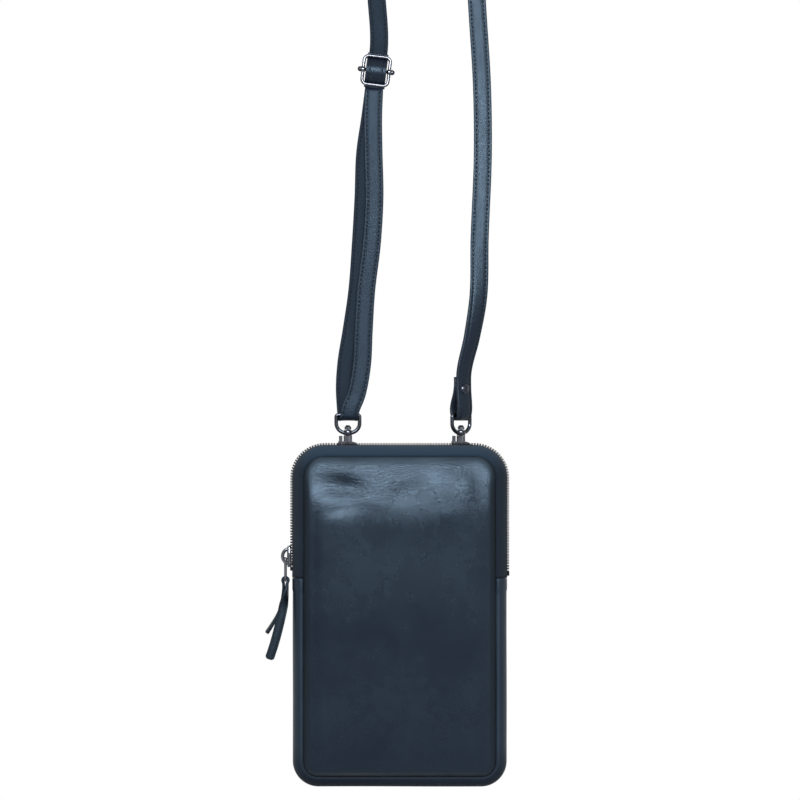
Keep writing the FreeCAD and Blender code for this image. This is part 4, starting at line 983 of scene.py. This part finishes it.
def build_strap():
    line = right_strand()
    long_run, sewn = sewn_run("strap_long_run", "strap_long_stitching", line[:, :3], facing(line[:, 3]),
                              STRAP_LEATHER, "strap")
    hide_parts("strap_right_fold", "strap_right_run", "strap_crown", "strap_left_run")
    pieces = [long_run, sewn]

    line = adjust_strand()
    across = leaning(eased((line[:, 3] - 0.8) / 0.2))
    loop, sewn = sewn_run("strap_adjust_loop", "strap_adjust_stitching", line[:, :3], across, LOOP_LEATHER,
                          inner=0)
    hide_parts("strap_adjust_run", "strap_left_fold", "strap_return_run")
    for piece in (loop, sewn):
        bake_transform(piece)
    pieces += [loop, sewn]

    line = smooth_line([OVER - UP * 2.4 + (0, 0.7, 0), OVER + UP, OVER + (MEET - OVER) * 0.5, MEET])
    across = leaning(1 - eased((line[:, 2] - OVER[2]) / (MEET[2] - OVER[2])))
    run, sewn = sewn_run("strap_slide", "strap_slide_stitching", line, across, FLESH)
    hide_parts("strap_slide_run")
    for piece in (run, sewn):
        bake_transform(piece)
    pieces += [run, sewn]

    heights = np.linspace(-WEAVE_REACH, WEAVE_REACH, 33)
    wave = np.cos(math.pi * np.minimum(np.abs(heights) / 7.8, 1) ** 1.25)
    line = buckle_line([(-0.65 - 2.6 * rise, height) for rise, height in zip(wave, heights)])
    weave, sewn = sewn_run("strap_through_buckle", "strap_weave_stitching", line, SIDE, STRAP_LEATHER,
                           "buckle", WEAVE_WIDTH)
    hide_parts("strap_weave")
    pieces += [weave, sewn]

    local = [(3.85, -WEAVE_REACH), (3.85, -6.5), (3.2, -4.4), (2.1, -1.8)]
    local += arc((0, 0), (1.68, 1.68), np.linspace(0.2, 4.9, 15))
    line = smooth_line(buckle_line(local), 0.7)
    end = ribbon("strap_sewn_end", line, SIDE, STRAP_WIDTH, SEWN_END_THICKNESS, STRAP_LEATHER, "buckle")
    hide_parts("strap_return_loop")
    pieces.append(end)


# The pull's tails: shares of the length, the fold's half-width, the sweep, the spread and a quarter turn
PULL_SHORT = ((0.05, 0.66, 0.002, 0.03, 0), (0.14, 0.56, 0.012, 0.1, 0), (0.32, 0.6, 0.07, 0.36, 0),
              (0.5, 0.6, 0.18, 0.46, 0), (0.66, 0.5, 0.384, 0.48, 0.05), (0.83, 0.4, 0.69, 0.48, 0.12),
              (1, 0.3, 1.04, 0.48, 0.18))
PULL_LONG = ((0.033, 0.62, 0.002, -0.02, -0.02), (0.093, 0.52, 0.011, -0.08, -0.08),
             (0.25, 0.4, 0.12, -0.4, -0.5), (0.35, 0.35, 0.2, -0.5, -0.85), (0.45, 0.3, 0.285, -0.55, -1),
             (0.6, 0.2, 0.425, -0.57, -1), (0.8, 0.1, 0.65, -0.59, -1), (1, 0, 0.93, -0.6, -1))
PULL_FOOT = np.array((LINK_PLACE, 0.0, 112.4))
PULL_WIDTH = 5.0
PULL_THICKNESS = 1.5
PULL_HALF_FOLD = 1.7
PULL_SWEEP = 9.5
PULL_SPREAD = 4.5


def pull_tail(side, length, stations):
    line = []
    for drop, beside, swept, deep, quarter in stations:
        across = side * PULL_HALF_FOLD * beside - PULL_SWEEP * swept
        line.append((*(PULL_FOOT + (across, PULL_SPREAD * deep, -length * drop)), 90.0 * quarter))
    return line


def build_pull():
    """The folded leather pull: short tail edge-on, over the link's foot, long tail turning to the front."""
    fold = [(*(PULL_FOOT + (x, 0, z)), 0.0) for x, z in arc((0, 0), (1.58, 1.62), np.linspace(math.pi, 0, 9))]
    line = smooth_line(pull_tail(-1, 29.0, PULL_SHORT)[::-1] + fold + pull_tail(1, 43.0, PULL_LONG), 0.9)
    pull = ribbon("zip_pull_strip", line[:, :3], facing(line[:, 3] + 90), PULL_WIDTH, PULL_THICKNESS,
                  PULL_LEATHER, "pull_strip", rounded=1.2)
    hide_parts("zip_pull")


def build_tabs():
    """Leather loops on the back: both ends sewn to the panel with rows of stitches."""
    for hand, x in (("left", LEFT_HOOK), ("right", RIGHT_HOOK)):
        local = [(TAB_INNER, TAB_FOOT), (TAB_INNER, 160.0), (TAB_INNER, 166.0), (TAB_INNER, 171.0)]
        local += arc((HOOK_DEPTH, 173.1), (-3.3, 3.3), np.linspace(0.1, 4.0, 21))
        local += [(12.6, 168.9), (12.2, 167.0), (TAB_OUTER, 163.0), (TAB_OUTER, TAB_FOOT)]
        line = smooth_line([(x, depth, height) for depth, height in local], 0.8)
        tab = ribbon(f"{hand}_tab_loop", line, LEVEL, TAB_WIDTH, TAB_THICKNESS, STRAP_LEATHER, "pouch")
        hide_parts(f"{hand}_tab")
        flat = np.array([(x, TAB_OUTER, height) for height in np.linspace(166.5, 155.2, 8)])
        sewn = stitches(f"{hand}_tab_stitching", flat, LEVEL, TAB_WIDTH, TAB_THICKNESS, "pouch", 2.4, 1.8)


# Metal fittings

# Turned profiles, as (distance along the axis, radius)
EYE_BOSS = [(3.05, 1.0), (3.05, 2.1), (3.2, 2.3), (3.5, 2.4), (4.7, 2.4), (5.8, 2.3), (6.05, 2.15),
            (6.2, 1.9), (6.2, 1.0)]
RIVET_CAP = [(-0.3, 2.3), (0.1, 2.8), (0.4, 2.78), (0.75, 2.5), (1.05, 2.0), (1.25, 1.3), (1.35, 0.6),
             (1.38, 0.02)]
BUCKLE_BOSS = [(-1.15, 1.0), (-1.15, 1.5), (-0.95, 1.72), (0.95, 1.72), (1.15, 1.5), (1.15, 1.0)]
BALL_PLACE = 8.8
BALL_RADIUS = 1.5
LEAST_RADIUS = 0.02


def build_eyes():
    for hand, x, turn in (("left", LEFT_HOOK, 0.0), ("right", RIGHT_HOOK, math.radians(RIGHT_TURN))):
        cosine = math.cos(turn)
        sine = math.sin(turn)
        line = [(x + across * cosine, HOOK_DEPTH + across * sine, EYE_BASE + up)
                for across, up in loop_line(15.0, 3.5, 15.6, 6.4, 2.4, 2.2)]
        ring_wire = tube(f"{hand}_eye_ring", line, (-sine, cosine, 0), 1.1, GUNMETAL, "strap")
        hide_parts(f"{hand}_swivel_eye")
        boss = lathe(f"{hand}_eye_boss", (x, HOOK_DEPTH, EYE_BASE), (0, 0, 1), EYE_BOSS, GUNMETAL, "strap")


def build_rivet_cap():
    cap = lathe("rivet_cap", right_place(3.2, RIVET_HEIGHT), RIGHT_OUT, RIVET_CAP, GUNMETAL, "strap")


def build_buckle():
    line = [BUCKLE + SIDE * across + UP * up for across, up in loop_line(16.3, -8.75, 8.75, 3.6, 3.6, 1.9)]
    wire = tube("buckle_loop", line, (0, 1, 0), 0.95, NICKEL, "buckle")
    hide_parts("buckle_frame")
    for hand, way in (("left", -1), ("right", 1)):
        boss = lathe(f"buckle_boss_{hand}", BUCKLE + SIDE * 7.2 * way, SIDE, BUCKLE_BOSS, NICKEL, "buckle")
    outline = arc((BALL_PLACE, 0), (-BALL_RADIUS, BALL_RADIUS), np.linspace(0.68, math.pi, 15))
    ball = [(along, max(radius, LEAST_RADIUS)) for along, radius in outline]
    profile = [(-along, radius) for along, radius in ball[::-1]] + ball
    bar = lathe("buckle_rod", BUCKLE, SIDE, profile, GUNMETAL, "buckle")
    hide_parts("buckle_bar")


def slider_section(height):
    """Outline of the slider's cover, as (x, across), at a share of its half-length."""
    wide = 3.35 - 0.7 * eased(height) - 0.5 * max(abs(height) - 0.86, 0) / 0.14
    crown = 0.45 * math.sqrt(1 - 0.92 * height ** 2)
    section = [(SLIDER_FOOT, wide), (-60.5, wide), (-60.85 - 0.4 * crown, wide - 0.35),
               (-60.98 - crown, wide * 0.5), (-61.0 - crown, 0)]
    section += [(x, -across) for x, across in section[-2::-1]]
    return section + [(SLIDER_FOOT, 0.55 - wide), (-59.8, 0.7 - wide), (-59.8, wide - 0.7),
                      (SLIDER_FOOT, wide - 0.55)]


def build_slider():
    line = [(LINK_PLACE, across, 125.3 + up) for across, up in loop_line(8.4, -13.6, 0, 1.5, 1.5, 1.4)]
    link = tube("zip_link_wire", line, (1, 0, 0), 0.7, ZIP_METAL, "pull_link")
    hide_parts("zip_link")
    bow = arc((BAIL_PLACE, SLIDER_HEIGHT), (BAIL_RADIUS, BAIL_RADIUS), np.radians(np.linspace(100, 260, 29)))
    line = [(x, 0, z) for x, z in bow]
    bail = tube("zip_bail", line, (0, 1, 0), 0.95, ZIP_METAL, "zip_slider", False)
    heights = np.linspace(-1, 1, 17)
    points = [(x, across, SLIDER_HEIGHT + SLIDER_HALF_LENGTH * height)
              for height in heights for x, across in slider_section(height)]
    faces = tube_faces(len(heights), len(points) // len(heights))
    cover = add_piece("zip_slider_cover", points, faces, ZIP_METAL, "zip_slider")


def build_front():
    """The front's soft pieces, built in place between the pouch and its flap."""
    front = panel_skin("front_skin", -1, FRONT_FOLDS, 5.2, 40.0, FRONT_LEATHER)
    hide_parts("front_panel_lower", "front_panel_upper")
    inside = lining_sheet("front_lining", -1)
    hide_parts("lining_front_lower", "lining_front_upper")
    tape = zip_tape("front_tape", -1)
    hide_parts("zip_tape_front")
    teeth = teeth_row("front_teeth", -1)
    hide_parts("zip_teeth_front")
    for piece in (front, inside, tape, teeth):
        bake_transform(piece)


def build_back():
    back = panel_skin("back_skin", 1, BACK_FOLDS, 2.65, 10.0, LEATHER)
    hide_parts("back_panel")
    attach(back, "pouch")
    inside = lining_sheet("back_lining", 1)
    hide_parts("lining_back")
    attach(inside, "pouch")
    tape = zip_tape("back_tape", 1, "pouch")
    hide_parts("zip_tape_back")
    teeth = teeth_row("back_teeth", 1)
    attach(teeth, "pouch")
    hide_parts("zip_teeth_back")
    wall = sweep_profile("gusset_wall", False, gusset_profile, GUSSET_LEATHER, "pouch")
    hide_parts("gusset")


def dress_nodes():
    """Finish the CAD nodes that show as they are."""
    finishes = {"zip_stops": TEETH, "zip_slider_body": ZIP_METAL, "strap_rivet": GUNMETAL}
    for hand in ("left", "right"):
        for name in ("hook_body", "hook_gate", "gate_pin", "gate_spring"):
            finishes[f"{hand}_{name}"] = ZIP_METAL
    for name, finish in finishes.items():
        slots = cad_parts[name].data.materials
        slots.clear()
        slots.append(finish)


build_stage()
build_strap()
build_front()
build_back()
build_tabs()
build_pull()
build_eyes()
build_rivet_cap()
build_buckle()
build_slider()
dress_nodes()
